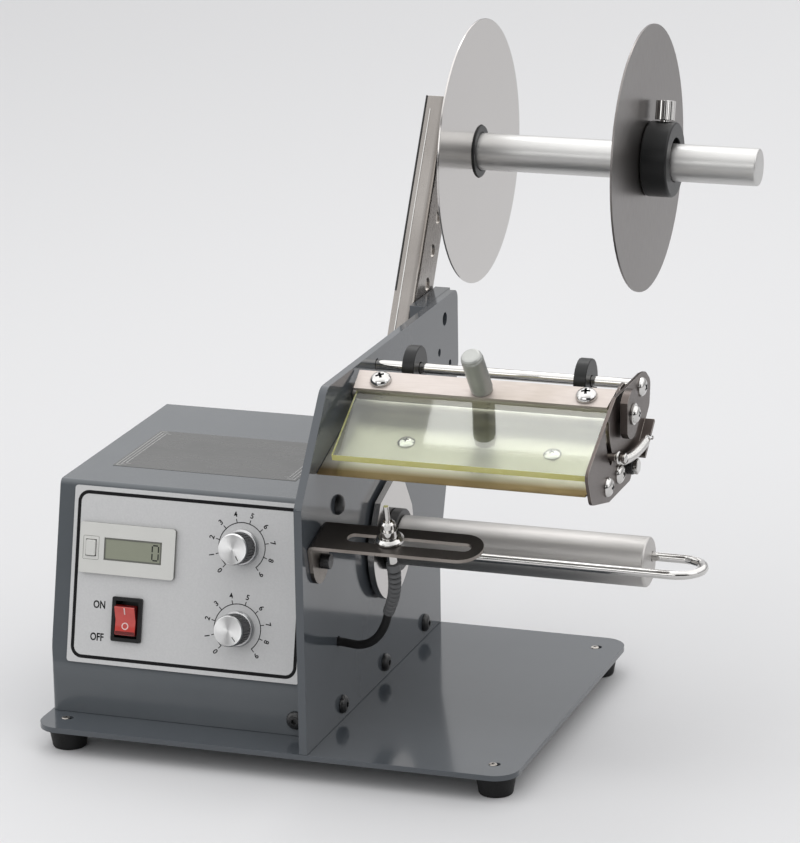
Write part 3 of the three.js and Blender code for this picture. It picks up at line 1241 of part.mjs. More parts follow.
// The extension spring pulls the cover shut. It is one wire: a hook round the arm's pin, the coil along its
// sagging route and a hook through the eye.
function makeSpring() {
  const route = new THREE.CatmullRomCurve3(springRoute.map(([depth, height]) =>
    new THREE.Vector3(depth, height, springPlane)));
  const outwards = new THREE.Vector3(0, 0, 1);
  const points = [];
  const pinDepth = hingeDepth + pinPlace[0];
  const pinHeight = hingeHeight + pinPlace[1];
  // The front hook goes round the pin from above and runs back to the coil's underside
  for (let step = 0; step <= springHookSteps; step += 1) {
    const angle = Math.PI * (0.4 + (1.2 * step) / springHookSteps);
    points.push(new THREE.Vector3(pinDepth + springHookRadius * Math.cos(angle),
      pinHeight + springHookRadius * Math.sin(angle), springPlane));
  }
  const steps = (springTurns + 0.5) * springCurlSteps;
  for (let step = 0; step <= steps; step += 1) {
    const share = step / steps;
    const centre = route.getPointAt(share);
    const up = outwards.clone().cross(route.getTangentAt(share));
    const angle = (2 * Math.PI * step) / springCurlSteps - Math.PI / 2;
    points.push(centre.addScaledVector(up, springCoilRadius * Math.sin(angle))
      .addScaledVector(outwards, springCoilRadius * Math.cos(angle)));
  }
  // The rear hook passes through the eye, square to the ear, and closes round the ear's outer edge
  const eye = new THREE.Vector3(...eyePlace, springPlane);
  const through = new THREE.Vector3(-Math.sin(earEdge.angle()), Math.cos(earEdge.angle()), 0);
  for (const [alongShare, outShare] of eyeHookShares) {
    points.push(eye.clone().addScaledVector(through, eyeHookReach * alongShare)
      .addScaledVector(outwards, eyeHookOut * outShare));
  }
  const gap = leastGap(points, springWireRadius, springCoilRadius * 4).toFixed(2);
  console.log(`cover_spring: least gap to itself ${gap} mm`);
  add(side, "cover_spring", wireThrough(points, springWireRadius, springWireSides), finishes.chrome);
}

function makeSensor() {
  const bracket = new THREE.Group();
  bracket.position.set(plateThickness + seatGap, bracketDepth, bracketHeight);
  bracket.rotation.x = bracketTilt;
  machine.add(bracket);
  const halfWidth = bracketWidth / 2;
  const section = roundedShape([
    [0, -halfWidth], [bracketSheet, -halfWidth],
    [bracketSheet, bracketRise - bracketSheet, bracketBend - bracketSheet],
    [bracketReach, bracketRise - bracketSheet], [bracketReach, bracketRise], [0, bracketRise, bracketBend],
  ]);
  const bent = plate(section, bracketWidth).rotateX(Math.PI / 2).translate(0, halfWidth, 0);
  const armPlan = roundedShape([
    [-overrun, -halfWidth], [bracketReach, -halfWidth, halfWidth - overrun / 10],
    [bracketReach, halfWidth, halfWidth - overrun / 10], [-overrun, halfWidth],
  ]);
  const slot = roundedRectangle(bracketSlotStart, -bracketSlotWidth / 2, bracketSlotEnd - bracketSlotStart,
    bracketSlotWidth, bracketSlotWidth / 2 - overrun / 100);
  const tall = bracketRise + halfWidth + overrun * 2;
  const flangeFace = roundedShape([
    [-halfWidth, -halfWidth, halfWidth - overrun / 10], [halfWidth, -halfWidth, halfWidth - overrun / 10],
    [halfWidth, bracketRise + overrun], [-halfWidth, bracketRise + overrun],
  ]);
  const flangeSide = plate(flangeFace, bracketReach + overrun, boreSteps / 2)
    .applyMatrix4(new THREE.Matrix4().makeBasis(
      new THREE.Vector3(0, 1, 0), new THREE.Vector3(0, 0, 1), new THREE.Vector3(1, 0, 0)));
  const shaped = common(bent, plate(armPlan, tall, boreSteps / 2).translate(0, 0, -halfWidth - overrun), flangeSide);
  const boltBore = round(bracketBoltRadius + runningGap, bracketSheet * 4, smallRound).rotateY(Math.PI / 2)
    .translate(-bracketSheet, 0, 0);
  add(bracket, "sensor_bracket", cut(shaped, plate(slot, tall, boreSteps / 2), boltBore), finishes.stainless);

  const boltShoulder = bracketSheet + seatGap;
  const boltBack = seatGap - plateThickness;
  const bolt = turned([
    [0, boltBack], [bracketBoltRadius, boltBack], [bracketBoltRadius, boltShoulder],
    [bracketBoltHeadRadius, boltShoulder], [bracketBoltHeadRadius, boltShoulder + bracketBoltHead],
    [0, boltShoulder + bracketBoltHead],
  ], smallRound).rotateY(Math.PI / 2);
  add(bracket, "bracket_bolt", bolt, finishes.blackPlastic);

  const sensor = new THREE.Group();
  sensor.position.set(sensorAt - plateThickness - seatGap, 0, bracketRise);
  bracket.add(sensor);
  const flangeTop = -bracketSheet - seatGap;
  const flangeLow = flangeTop - sensorFlangeThickness;
  const nutTop = seatGap + sensorNutHeight;
  const bodyFoot = nutTop + seatGap;
  const bodyTop = bodyFoot + sensorBodyLength;
  const capFoot = bodyTop + sensorWaistLength;
  const capTop = capFoot + sensorCapLength;
  add(sensor, "sensor", turned([
    [0, flangeLow - sensorBarrelDrop], [sensorBarrelRadius, flangeLow - sensorBarrelDrop],
    [sensorBarrelRadius, flangeLow], [sensorFlangeRadius, flangeLow], [sensorFlangeRadius, flangeTop],
    [sensorNeckRadius, flangeTop], [sensorNeckRadius, bodyFoot], [sensorBodyRadius, bodyFoot],
    [sensorBodyRadius, bodyTop], [sensorWaistRadius, bodyTop], [sensorWaistRadius, capFoot],
    [sensorCapRadius, capFoot], [sensorCapRadius, capTop - sensorWaistLength],
    [sensorProbeRadius + sensorWaistLength, capTop], [sensorProbeRadius, capTop],
    [sensorProbeRadius, capTop + sensorProbeLength], [0, capTop + sensorProbeLength],
  ], smallRound), finishes.chrome);
  add(sensor, "sensor_nut", turnedRing([
    [sensorNutRadius, 0], [sensorNutRadius, sensorNutHeight / 2], [sensorNutRadius * 0.8, sensorNutHeight],
  ], sensorNeckRadius + runningGap, smallRound), finishes.chrome).position.z = seatGap;

  // The strain relief is grooved all along and narrows towards the cable
  const reliefCurve = new THREE.CatmullRomCurve3(reliefRoute.map((point) => new THREE.Vector3(...point)));
  const ringCount = reliefRibs * 2;
  const rings = reliefCurve.getSpacedPoints(ringCount);
  const relief = wireThrough(rings, 1, reliefSides);
  const positions = relief.getAttribute("position");
  rings.forEach((centre, ring) => {
    const taper = THREE.MathUtils.lerp(reliefTopRadius, reliefEndRadius, ring / ringCount);
    const radius = taper - (ring % 2) * reliefGroove;
    for (let corner = 0; corner < reliefSides; corner += 1) {
      const vertex = ring * reliefSides + corner;
      const at = new THREE.Vector3().fromBufferAttribute(positions, vertex).sub(centre).multiplyScalar(radius);
      positions.setXYZ(vertex, centre.x + at.x, centre.y + at.y, centre.z + at.z);
    }
  });
  relief.computeVertexNormals();
  add(machine, "strain_relief", relief, finishes.greyRubber);

  const cableCurve = new THREE.CatmullRomCurve3(cableRoute.map((point) => new THREE.Vector3(...point)));
  const cableSection = new THREE.Shape().absarc(0, 0, cableRadius, 0, 2 * Math.PI);
  add(machine, "sensor_cable", new THREE.ExtrudeGeometry(cableSection, {
    steps: cableSteps, curveSegments: cableSides / 2, extrudePath: cableCurve,
  }), finishes.rubber);
}

makeBase();
makeMainPlate();
makeHousing();
makePanel();
makeElectrics();
makeTakeUp();
makeSpindle(makeStrut());
makePeelHead();
makeCover();
makeSpring();
makeSensor();

// The origin is on the floor below the middle of the whole machine
machine.updateMatrixWorld(true);
const extent = new THREE.Box3().setFromObject(machine, true);
const middle = extent.getCenter(new THREE.Vector3());
machine.position.set(-middle.x, -middle.y, -extent.min.z);
machine.updateMatrixWorld(true);

export default machine;
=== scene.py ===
import json
import math

import bmesh
import bpy
from mathutils import Matrix, Vector
from mathutils.bvhtree import BVHTree


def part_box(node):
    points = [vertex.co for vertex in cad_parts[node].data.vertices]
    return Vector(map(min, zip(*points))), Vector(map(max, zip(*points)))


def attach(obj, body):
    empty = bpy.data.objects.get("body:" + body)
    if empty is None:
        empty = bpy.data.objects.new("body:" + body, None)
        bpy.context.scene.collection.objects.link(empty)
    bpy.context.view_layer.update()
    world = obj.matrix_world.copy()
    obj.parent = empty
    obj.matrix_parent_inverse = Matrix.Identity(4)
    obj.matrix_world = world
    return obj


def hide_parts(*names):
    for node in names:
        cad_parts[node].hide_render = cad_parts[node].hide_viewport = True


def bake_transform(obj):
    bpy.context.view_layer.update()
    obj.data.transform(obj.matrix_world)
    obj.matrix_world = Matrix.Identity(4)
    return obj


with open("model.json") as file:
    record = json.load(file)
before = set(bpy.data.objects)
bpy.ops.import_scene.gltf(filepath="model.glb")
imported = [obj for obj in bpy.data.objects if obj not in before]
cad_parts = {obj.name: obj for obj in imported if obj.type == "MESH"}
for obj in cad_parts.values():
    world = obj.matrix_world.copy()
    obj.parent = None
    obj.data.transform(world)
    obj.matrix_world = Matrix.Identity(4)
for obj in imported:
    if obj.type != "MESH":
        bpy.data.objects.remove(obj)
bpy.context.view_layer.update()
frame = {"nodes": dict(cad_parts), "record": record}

# Camera: it stands to the right of the front and looks slightly down, as a photographer does across
# a table. Places are in millimetres from the front corner where the main plate meets the base plate.
base_low, base_high = (Vector(corner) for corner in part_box("base_plate"))
base_left_of_plate = 133.3
corner = Vector((base_low.x + base_left_of_plate / 1000, base_low.y, base_high.z))


def at(x, y, z):
    """A place in metres, from millimetres right of, behind and above the main plate's front foot."""
    return corner + Vector((x, y, z)) / 1000


def placed(name, data):
    """A new object for a mesh, a lamp or the camera, put in the scene."""
    item = bpy.data.objects.new(name, data)
    bpy.context.scene.collection.objects.link(item)
    return item


photo_width = 800
focal_pixels = 3943.4
camera_place = at(601.05, -1582.65, 650.76)
camera_yaw, camera_pitch, camera_roll = (math.radians(angle) for angle in (19.15, 16.225, -0.89))
camera_data = bpy.data.cameras.new("camera")
camera_data.sensor_fit = "HORIZONTAL"
camera_data.sensor_width = 36
camera_data.lens = 36 * focal_pixels / photo_width
camera_data.clip_end = 60
camera = placed("camera", camera_data)
camera.matrix_world = (Matrix.Translation(camera_place) @ Matrix.Rotation(camera_yaw, 4, "Z")
    @ Matrix.Rotation(math.pi / 2 - camera_pitch, 4, "X") @ Matrix.Rotation(camera_roll, 4, "Z"))
bpy.context.scene.camera = camera
bpy.context.scene.view_settings.view_transform = "Standard"


def node_group(name, inputs, outputs):
    """An empty shader node group with sockets by name and kind, and its input and output nodes."""
    group = bpy.data.node_groups.new(name, "ShaderNodeTree")
    for side, sockets in (("INPUT", inputs), ("OUTPUT", outputs)):
        for socket, kind in sockets.items():
            group.interface.new_socket(name=socket, in_out=side, socket_type="NodeSocket" + kind)
    return group, group.nodes.new("NodeGroupInput"), group.nodes.new("NodeGroupOutput")


def added(tree, kind, **values):
    """A new node with its own settings and, where the name is a socket's, plain socket values."""
    node = tree.nodes.new("ShaderNode" + kind)
    for name, value in values.items():
        if hasattr(node, name):
            setattr(node, name, value)
        else:
            node.inputs[name.replace("_", " ")].default_value = value
    return node


def wired(tree, *wires):
    """Links nodes; each wire is a node, its output, another node and its input."""
    for start, output, end, entry in wires:
        tree.links.new(start.outputs[output], end.inputs[entry])


# Mottle: soft patches between two colours, as on paint, satin metal and handled plastic.
mottle, m_in, m_out = node_group("mottle", {"Colour": "Color", "Patch Colour": "Color", "Patches": "Float",
    "Amount": "Float"}, {"Colour": "Color"})
m_noise = added(mottle, "TexNoise", Detail=5)
m_contrast = added(mottle, "MapRange", From_Min=0.35, From_Max=0.68)
m_amount = added(mottle, "Math", operation="MULTIPLY")
m_mix = added(mottle, "Mix", data_type="RGBA")
wired(mottle, (added(mottle, "TexCoord"), "Object", m_noise, "Vector"), (m_in, "Patches", m_noise, "Scale"),
    (m_noise, "Fac", m_contrast, "Value"), (m_contrast, "Result", m_amount, 0), (m_in, "Amount", m_amount, 1),
    (m_amount, "Value", m_mix, "Factor"), (m_in, "Colour", m_mix, "A"), (m_in, "Patch Colour", m_mix, "B"),
    (m_mix, "Result", m_out, "Colour"))

# Grain: fine relief that may be drawn out along one direction, as brushing and polishing marks are,
# with the roughness going up and down along with it.
grain, g_in, g_out = node_group("grain", {"Stretch": "Vector", "Depth": "Float", "Smooth": "Float",
    "Rough": "Float"}, {"Normal": "Vector", "Roughness": "Float"})
g_stretch = added(grain, "VectorMath", operation="MULTIPLY")
g_noise = added(grain, "TexNoise", Scale=1, Detail=4)
g_rough = added(grain, "MapRange", From_Min=0.3, From_Max=0.7)
g_bump = added(grain, "Bump", Distance=0.0001)
wired(grain, (added(grain, "TexCoord"), "Object", g_stretch, 0), (g_in, "Stretch", g_stretch, 1),
    (g_stretch, "Vector", g_noise, "Vector"), (g_noise, "Fac", g_rough, "Value"),
    (g_in, "Smooth", g_rough, "To Min"), (g_in, "Rough", g_rough, "To Max"), (g_noise, "Fac", g_bump, "Height"),
    (g_in, "Depth", g_bump, "Strength"), (g_bump, "Normal", g_out, "Normal"),
    (g_rough, "Result", g_out, "Roughness"))


def finish(name, colour, patch_colour, patches=120, amount=0.6, stretch=1500, depth=0.02, roughness=(0.3, 0.4),
        metallic=0.0, **plain):
    """A material of mottled colour and grained surface; plain values go on the shader's own sockets."""
    material = bpy.data.materials.new(name)
    material.use_nodes = True
    tree = material.node_tree
    shader = tree.nodes["Principled BSDF"]
    for socket, value in {"Metallic": metallic, **plain}.items():
        shader.inputs[socket.replace("_", " ")].default_value = value
    colours = added(tree, "Group", node_tree=mottle, Colour=(*colour, 1), Patch_Colour=(*patch_colour, 1),
        Patches=patches, Amount=amount)
    relief = added(tree, "Group", node_tree=grain, Depth=depth, Smooth=roughness[0], Rough=roughness[1],
        Stretch=stretch if isinstance(stretch, tuple) else (stretch, stretch, stretch))
    wired(tree, (colours, "Colour", shader, "Base Color"), (relief, "Roughness", shader, "Roughness"),
        (relief, "Normal", shader, "Normal"))
    return material


slate_paint = finish("slate_paint", (0.078, 0.088, 0.100), (0.088, 0.098, 0.110), patches=22, stretch=1400,
    roughness=(0.09, 0.15), Coat_Weight=0.15)
housing_paint = finish("housing_paint", (0.088, 0.099, 0.110), (0.102, 0.113, 0.124), patches=40, stretch=1700,
    depth=0.08, roughness=(0.16, 0.24), Coat_Weight=0.2)
satin_steel = finish("satin_steel", (0.52, 0.49, 0.46), (0.44, 0.395, 0.35), patches=35, stretch=(250, 2600, 2600),
    depth=0.08, roughness=(0.26, 0.38), metallic=1.0)
disc_steel = finish("disc_steel", (0.575, 0.555, 0.54), (0.60, 0.58, 0.565), patches=9, stretch=(1300, 1300, 150),
    depth=0.015, roughness=(0.11, 0.17), metallic=1.0)
# Dark steel: stainless painted very dark as shade, for the end plate, the hinge arm and link and the guide disc's
# rim.
shaded_steel = finish("shaded_steel", (0.138, 0.118, 0.110), (0.105, 0.087, 0.079), patches=38, amount=0.7,
    stretch=(2600, 500, 2600), depth=0.08, roughness=(0.28, 0.40), metallic=1.0)
edge_steel = finish("edge_steel", (0.42, 0.39, 0.36), (0.30, 0.27, 0.245), patches=220, amount=0.8, stretch=1800,
    depth=0.15, roughness=(0.22, 0.34), metallic=1.0)
satin_aluminium = finish("satin_aluminium", (0.62, 0.615, 0.605), (0.57, 0.565, 0.555), patches=30, amount=0.5,
    stretch=(120, 1200, 1200), depth=0.05, roughness=(0.36, 0.44), metallic=1.0)
bright_chrome = finish("bright_chrome", (0.66, 0.65, 0.635), (0.56, 0.545, 0.525), amount=0.5,
    roughness=(0.05, 0.11), metallic=1.0)
black_plastic = finish("black_plastic", (0.009, 0.0095, 0.010), (0.014, 0.0145, 0.015), patches=90, stretch=2200,
    depth=0.15, roughness=(0.28, 0.40), Specular_IOR_Level=0.35)
black_steel = finish("black_steel", (0.012, 0.012, 0.013), (0.022, 0.022, 0.023), patches=300, stretch=2400,
    depth=0.15, roughness=(0.22, 0.34))
grey_plastic = finish("grey_plastic", (0.66, 0.66, 0.635), (0.71, 0.71, 0.68), patches=70, amount=0.5,
    stretch=2000, depth=0.15, roughness=(0.34, 0.44))
black_rubber = finish("black_rubber", (0.008, 0.008, 0.008), (0.014, 0.014, 0.015), patches=110, amount=0.7,
    depth=0.4, roughness=(0.5, 0.7), Specular_IOR_Level=0.3)
grey_rubber = finish("grey_rubber", (0.115, 0.117, 0.12), (0.15, 0.152, 0.156), patches=160, stretch=1800,
    depth=0.3, roughness=(0.45, 0.6))
board_green = finish("board_green", (0.03, 0.16, 0.07), (0.05, 0.21, 0.10), patches=200, depth=0.2,
    roughness=(0.35, 0.5))

body_of = {node: body for body, held in frame["record"]["behaviour"]["bodies"].items() for node in held}


def alone(piece):
    """Makes this piece the only selected and the active one."""
    for other in bpy.context.selected_objects:
        other.select_set(False)
    piece.select_set(True)
    bpy.context.view_layer.objects.active = piece


def shaded(piece, material, angle=30):
    """Gives the piece its material and smooth shading across edges flatter than the angle."""
    piece.data.materials.clear()
    piece.data.materials.append(material)
    alone(piece)
    bpy.ops.object.shade_smooth_by_angle(angle=math.radians(angle))
    return piece


def faced(piece, material, chosen):
    """Gives one more material to the faces that the test chooses."""
    piece.data.materials.append(material)
    for face in piece.data.polygons:
        if chosen(face):
            face.material_index = len(piece.data.materials) - 1


def settled(piece, place):
    """Takes the piece's own place into its mesh, and then moves the mesh."""
    piece.data.transform(place @ piece.matrix_basis)
    piece.matrix_basis = Matrix.Identity(4)
    return piece


def set_down(piece, place, direction=(0, 0, 1), turn=0.0):
    """Puts a piece that was made upright at the origin at its place, its top towards the direction."""
    aim = Vector((0, 0, 1)).rotation_difference(Vector(direction)).to_matrix().to_4x4()
    return settled(piece, Matrix.Translation(place) @ aim @ Matrix.Rotation(turn, 4, "Z"))


def fitted(piece, body="chassis", replaced=()):
    """Fixes a piece to its body and the nodes that it stands for."""
    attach(piece, body)
    if replaced:
        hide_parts(*replaced)
    return piece


def applied(piece, kind, **settings):
    """Gives the piece a modifier with these settings and applies it."""
    alone(piece)
    modifier = piece.modifiers.new(kind.lower(), kind)
    for name, value in settings.items():
        setattr(modifier, name, value)
    bpy.ops.object.modifier_apply(modifier=modifier.name)
    return piece


def eased(node, material, edge=0.3, steps=2, angle=35, edge_wear_and_shade=None, fold=None):
    """A node's own solid with its corners merged and its edges eased by the given millimetres.

    The eased edges may show a finish of their own: wear on some pieces, painted shade on others. A fold
    is the radius to which the long edges on the solid's right side are rounded first."""
    piece = placed(node + "_finished", frame["nodes"][node].data.copy())
    alone(piece)
    bpy.ops.object.mode_set(mode="EDIT")
    bpy.ops.mesh.select_all(action="SELECT")
    bpy.ops.mesh.remove_doubles(threshold=0.000005)
    bpy.ops.mesh.dissolve_limited(angle_limit=math.radians(1))
    if fold:
        bpy.ops.mesh.select_all(action="DESELECT")
        bpy.ops.object.mode_set(mode="OBJECT")
        places = [vertex.co for vertex in piece.data.vertices]
        right = max(place.x for place in places) - 0.0002
        for line in piece.data.edges:
            start, end = (places[index] for index in line.vertices)
            line.select = start.x > right and end.x > right and (end - start).length > 0.06
        bpy.ops.object.mode_set(mode="EDIT")
        bpy.ops.mesh.select_mode(type="EDGE")
        bpy.ops.mesh.bevel(offset=fold / 1000, segments=6, affect="EDGES")
    bpy.ops.object.mode_set(mode="OBJECT")
    piece.data.materials.clear()
    for shown in (material, edge_wear_and_shade) if edge_wear_and_shade else (material,):
        piece.data.materials.append(shown)
    if edge:
        applied(piece, "BEVEL", width=edge / 1000, segments=steps, limit_method="ANGLE",
            angle_limit=math.radians(angle), material=1 if edge_wear_and_shade else -1)
    bpy.ops.object.shade_smooth_by_angle(angle=math.radians(angle))
    applied(piece, "WEIGHTED_NORMAL", keep_sharp=True)
    return fitted(piece, body_of[node], (node,))


def drawn_up(name, sides, rings):
    """A round piece drawn up from a disc through rings of (radius, height) in millimetres."""
    (radius, height), *rest = rings
    bpy.ops.mesh.primitive_circle_add(vertices=sides, radius=radius / 1000, fill_type="NGON",
        location=(0, 0, height / 1000))
    piece = bpy.context.active_object
    piece.name = name
    bpy.ops.object.transform_apply(location=True, rotation=True, scale=True)
    bpy.ops.object.mode_set(mode="EDIT")
    bpy.ops.mesh.select_all(action="SELECT")
    for next_radius, next_height in rest:
        bpy.ops.mesh.extrude_region_move(TRANSFORM_OT_translate={"value": (0, 0, (next_height - height) / 1000)})
        share = next_radius / radius
        bpy.ops.transform.resize(value=(share, share, 1), center_override=(0, 0, next_height / 1000))
        radius, height = next_radius, next_height
    bpy.ops.mesh.select_all(action="SELECT")
    bpy.ops.mesh.remove_doubles(threshold=0.000001)
    bpy.ops.mesh.normals_make_consistent(inside=False)
    bpy.ops.object.mode_set(mode="OBJECT")
    return piece


def carved(piece, cutter):
    """Takes the cutter's shape out of the piece."""
    applied(piece, "BOOLEAN", object=cutter, operation="DIFFERENCE", solver="EXACT")
    bpy.data.objects.remove(cutter)
    return piece


def copied(piece, name):
    """Another of the same piece, with its own mesh."""
    return placed(name, piece.data.copy())


def repeated(piece, places, direction=(0, 0, 1), turn=0.0, first_turn=0.0):
    """Puts numbered copies of the piece at the places, each turned further, and removes the piece itself."""
    for number, place in enumerate(places):
        one = copied(piece, f"{piece.name}_{number + 1}")
        fitted(set_down(one, place, direction, first_turn + turn * number))
    bpy.data.objects.remove(piece)


def joined(name, pieces):
    """Several pieces made one."""
    alone(pieces[0])
    for piece in pieces[1:]:
        piece.select_set(True)
    bpy.context.view_layer.objects.active = pieces[0]
    if len(pieces) > 1:
        bpy.ops.object.join()
    pieces[0].name = name
    return pieces[0]


# Sensor cable: a round black lead of 4 mm that comes out of the sensor's strain relief, hangs in a
# short curve and goes through its hole in the main plate to the electronics.
cable_radius = 0.002
cable_route = [at(*point) for point in [(33.4, 31.6, 61.8), (31, 33.8, 55.2), (27, 36.6, 48.6), (21.5, 39.6, 43.4),
    (15, 42.4, 40.6), (9.5, 44.3, 40.1), (6, 45.1, 40.1), (0.8, 45.1, 40.1)]]


def smooth_route(points, pieces_each):
    """Points of a smooth curve through the given ones."""
    padded = [points[0] * 2 - points[1], *points, points[-1] * 2 - points[-2]]
    route = []
    for before, start, end, after in zip(padded, padded[1:], padded[2:], padded[3:]):
        for step in range(pieces_each):
            t = step / pieces_each
            bend = 2 * before - 5 * start + 4 * end - after
            twist = 3 * start - before - 3 * end + after
            route.append(0.5 * (2 * start + (end - before) * t + bend * t ** 2 + twist * t ** 3))
    return [*route, points[-1]]


def skinned(name, rings, capped):
    """A piece whose faces join each ring of places to the next, with both ends closed if capped."""
    shape = bmesh.new()
    rings = [[shape.verts.new(place) for place in ring] for ring in rings]
    for low, high in zip(rings, rings[1:]):
        for side in range(len(low)):
            beside = (side + 1) % len(low)
            shape.faces.new((low[side], low[beside], high[beside], high[side]))
    if capped:
        shape.faces.new(reversed(rings[0]))
        shape.faces.new(rings[-1])
        bmesh.ops.recalc_face_normals(shape, faces=shape.faces)
    mesh = bpy.data.meshes.new(name)
    shape.to_mesh(mesh)
    shape.free()
    return placed(name, mesh)


def tube(name, points, radii, sides):
    """A closed round tube through the points, with a radius for each."""
    rings = []
    normal = Vector((0, 0, 1))
    for index, (point, radius) in enumerate(zip(points, radii)):
        ahead = (points[min(index + 1, len(points) - 1)] - points[max(index - 1, 0)]).normalized()
        if abs(normal.dot(ahead)) > 0.99:
            normal = Vector((1, 0, 0))
        normal = (normal - ahead * normal.dot(ahead)).normalized()
        across = ahead.cross(normal)
        rings.append([point + normal * radius * math.cos(turn) + across * radius * math.sin(turn)
            for turn in (2 * math.pi * side / sides for side in range(sides))])
    return skinned(name, rings, capped=True)


cable_points = smooth_route(cable_route, 5)
cable = tube("sensor_lead", cable_points, [cable_radius] * len(cable_points), 16)
shaded(cable, black_rubber, 60)
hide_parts("sensor_cable")
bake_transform(cable)

# Floor and studio: a large pale sweep with painted shade that makes it a little darker on the left, a very
# broad soft lamp above and behind, fills from the front and sides, a lamp that the clear cover mirrors,
# and a pale surround with a dark side in front that metal shows.
floor_size, floor_back = 14, 3
floor_shown, floor_shade_left, floor_bounced = (0.71, 0.71, 0.72), (0.58, 0.58, 0.59), (0.42, 0.42, 0.425)
bpy.ops.mesh.primitive_plane_add(size=floor_size, location=(0, floor_back, 0))
floor = bpy.context.active_object
floor.name = "floor"
floor_material = bpy.data.materials.new("pale_floor")
floor_material.use_nodes = True
floor_tree = floor_material.node_tree
floor_shader = floor_tree.nodes["Principled BSDF"]
floor_shader.inputs["Roughness"].default_value = 0.8
# The floor's seen colour fades to a darker tone towards the left: painted shade.
floor_axes = added(floor_tree, "SeparateXYZ")
floor_shade_fade = added(floor_tree, "MapRange", From_Min=-1.6, From_Max=-0.2)
floor_tone = added(floor_tree, "Mix", data_type="RGBA", A=(*floor_shade_left, 1), B=(*floor_shown, 1))
floor_mix = added(floor_tree, "Mix", data_type="RGBA", B=(*floor_bounced, 1))
wired(floor_tree, (added(floor_tree, "TexCoord"), "Object", floor_axes, "Vector"),
    (floor_axes, "X", floor_shade_fade, "Value"), (floor_shade_fade, "Result", floor_tone, "Factor"),
    (floor_tone, "Result", floor_mix, "A"), (floor_mix, "Result", floor_shader, "Base Color"),
    (added(floor_tree, "LightPath"), "Is Diffuse Ray", floor_mix, "Factor"))
floor.data.materials.append(floor_material)

surround_level = 0.45
world = bpy.data.worlds.new("studio")
bpy.context.scene.world = world
world.use_nodes = True
studio = world.node_tree
surround = studio.nodes["Background"]
surround.inputs["Color"].default_value = (1, 1, 1, 1)
surround.inputs["Strength"].default_value = surround_level
backdrop = added(studio, "Background")
backdrop_place = added(studio, "TexCoord")
backdrop_height = added(studio, "SeparateXYZ")
backdrop_ramp = added(studio, "ValToRGB")
ends = backdrop_ramp.color_ramp.elements
ends[0].position, ends[0].color = 0.35, (0.76, 0.76, 0.765, 1)
ends[1].position, ends[1].color = 0.95, (0.9, 0.9, 0.9, 1)
for position, level in ((0.5, 0.35), (0.57, 0.48), (0.63, 0.85), (0.8, 0.75)):
    ends.new(position).color = (level, level, level * 1.01, 1)
backdrop_shift = added(studio, "MapRange", From_Min=-1)
dark_side = added(studio, "VectorMath", operation="DOT_PRODUCT")
dark_side.inputs[1].default_value = (0.30, -0.92, 0.25)
dark_level = added(studio, "MapRange", From_Min=0.5, From_Max=0.92, To_Min=1, To_Max=0.1)
rays = added(studio, "LightPath")
sees = added(studio, "Math", operation="MAXIMUM")
sees_through = added(studio, "Math", operation="MAXIMUM")
studio_mix = added(studio, "MixShader")
wired(studio, (backdrop_place, "Generated", backdrop_height, "Vector"),
    (backdrop_height, "Z", backdrop_shift, "Value"), (backdrop_shift, "Result", backdrop_ramp, "Fac"),
    (backdrop_ramp, "Color", backdrop, "Color"), (backdrop_place, "Generated", dark_side, 0),
    (dark_side, "Value", dark_level, "Value"), (dark_level, "Result", backdrop, "Strength"),
    (rays, "Is Camera Ray", sees, 0), (rays, "Is Glossy Ray", sees, 1), (sees, "Value", sees_through, 0),
    (rays, "Is Transmission Ray", sees_through, 1), (sees_through, "Value", studio_mix, "Fac"),
    (surround, "Background", studio_mix, 1), (backdrop, "Background", studio_mix, 2),
    (studio_mix, "Shader", studio.nodes["World Output"], "Surface"))


def lamp(name, kind, place, target, energy, size):
    """A lamp at a place in metres, aimed at a target."""
    data = bpy.data.lights.new(name, kind)
    data.energy = energy
    if kind == "SUN":
        data.angle = size
    else:
        data.shape = "RECTANGLE"
        data.size, data.size_y = size
    light = placed(name, data)
    light.location = place
    light.rotation_euler = (Vector(target) - Vector(place)).to_track_quat("-Z", "Y").to_euler()


middle = (0, 0, 0.15)
lamp("key", "SUN", (0.1, 0.3, 2.2), middle, 1.75, math.radians(120))
lamp("softbox_left", "AREA", (-1.5, -0.6, 0.7), middle, 3.5, (1.2, 1.2))
lamp("softbox_right", "AREA", (1.7, -0.5, 0.9), middle, 3.0, (1.2, 1.4))
lamp("softbox_front", "AREA", (-0.3, -2.4, 1.15), middle, 8.5, (1.6, 1.0))
lamp("window", "AREA", (-0.17, 0.575, 1.2), (-0.17, 0.575, 0), 1.2, (0.35, 0.354))

# Base plate: 2.6 mm sheet with round corners, painted, standing on four rubber feet that are held
# by a countersunk screw through the plate each.
eased("base_plate", slate_paint, edge=0.5, angle=50)
for foot in ("foot_front_left", "foot_front_right", "foot_rear_left", "foot_rear_right"):
    eased(foot, black_rubber, edge=0.7, angle=40)


def cross_head(name, rings, sides, arm, depth):
    """A screw's head drawn up through its rings, with a cross recess cut from the top and painted black inside as
    shade.
    """
    head = drawn_up(name, sides, rings)
    top = rings[-1][1]
    for turn in (0, math.pi / 2):
        bpy.ops.mesh.primitive_cube_add(size=0.001, location=(0, 0, 0))
        blade = bpy.context.active_object
        blade.data.transform(Matrix.Translation((0, 0, top / 1000)) @ Matrix.Rotation(turn, 4, "Z")
            @ Matrix.Diagonal((arm[0] * 2, arm[1] * 2, depth * 2, 1)))
        carved(head, blade)
    shaded(head, bright_chrome)
    # The recess's inner faces are painted black: painted shade.
    faced(head, black_steel, lambda face: face.center.z * 1000 < top - depth * 0.25
        and face.center.xy.length * 1000 < arm[0] * 1.08)
    return head


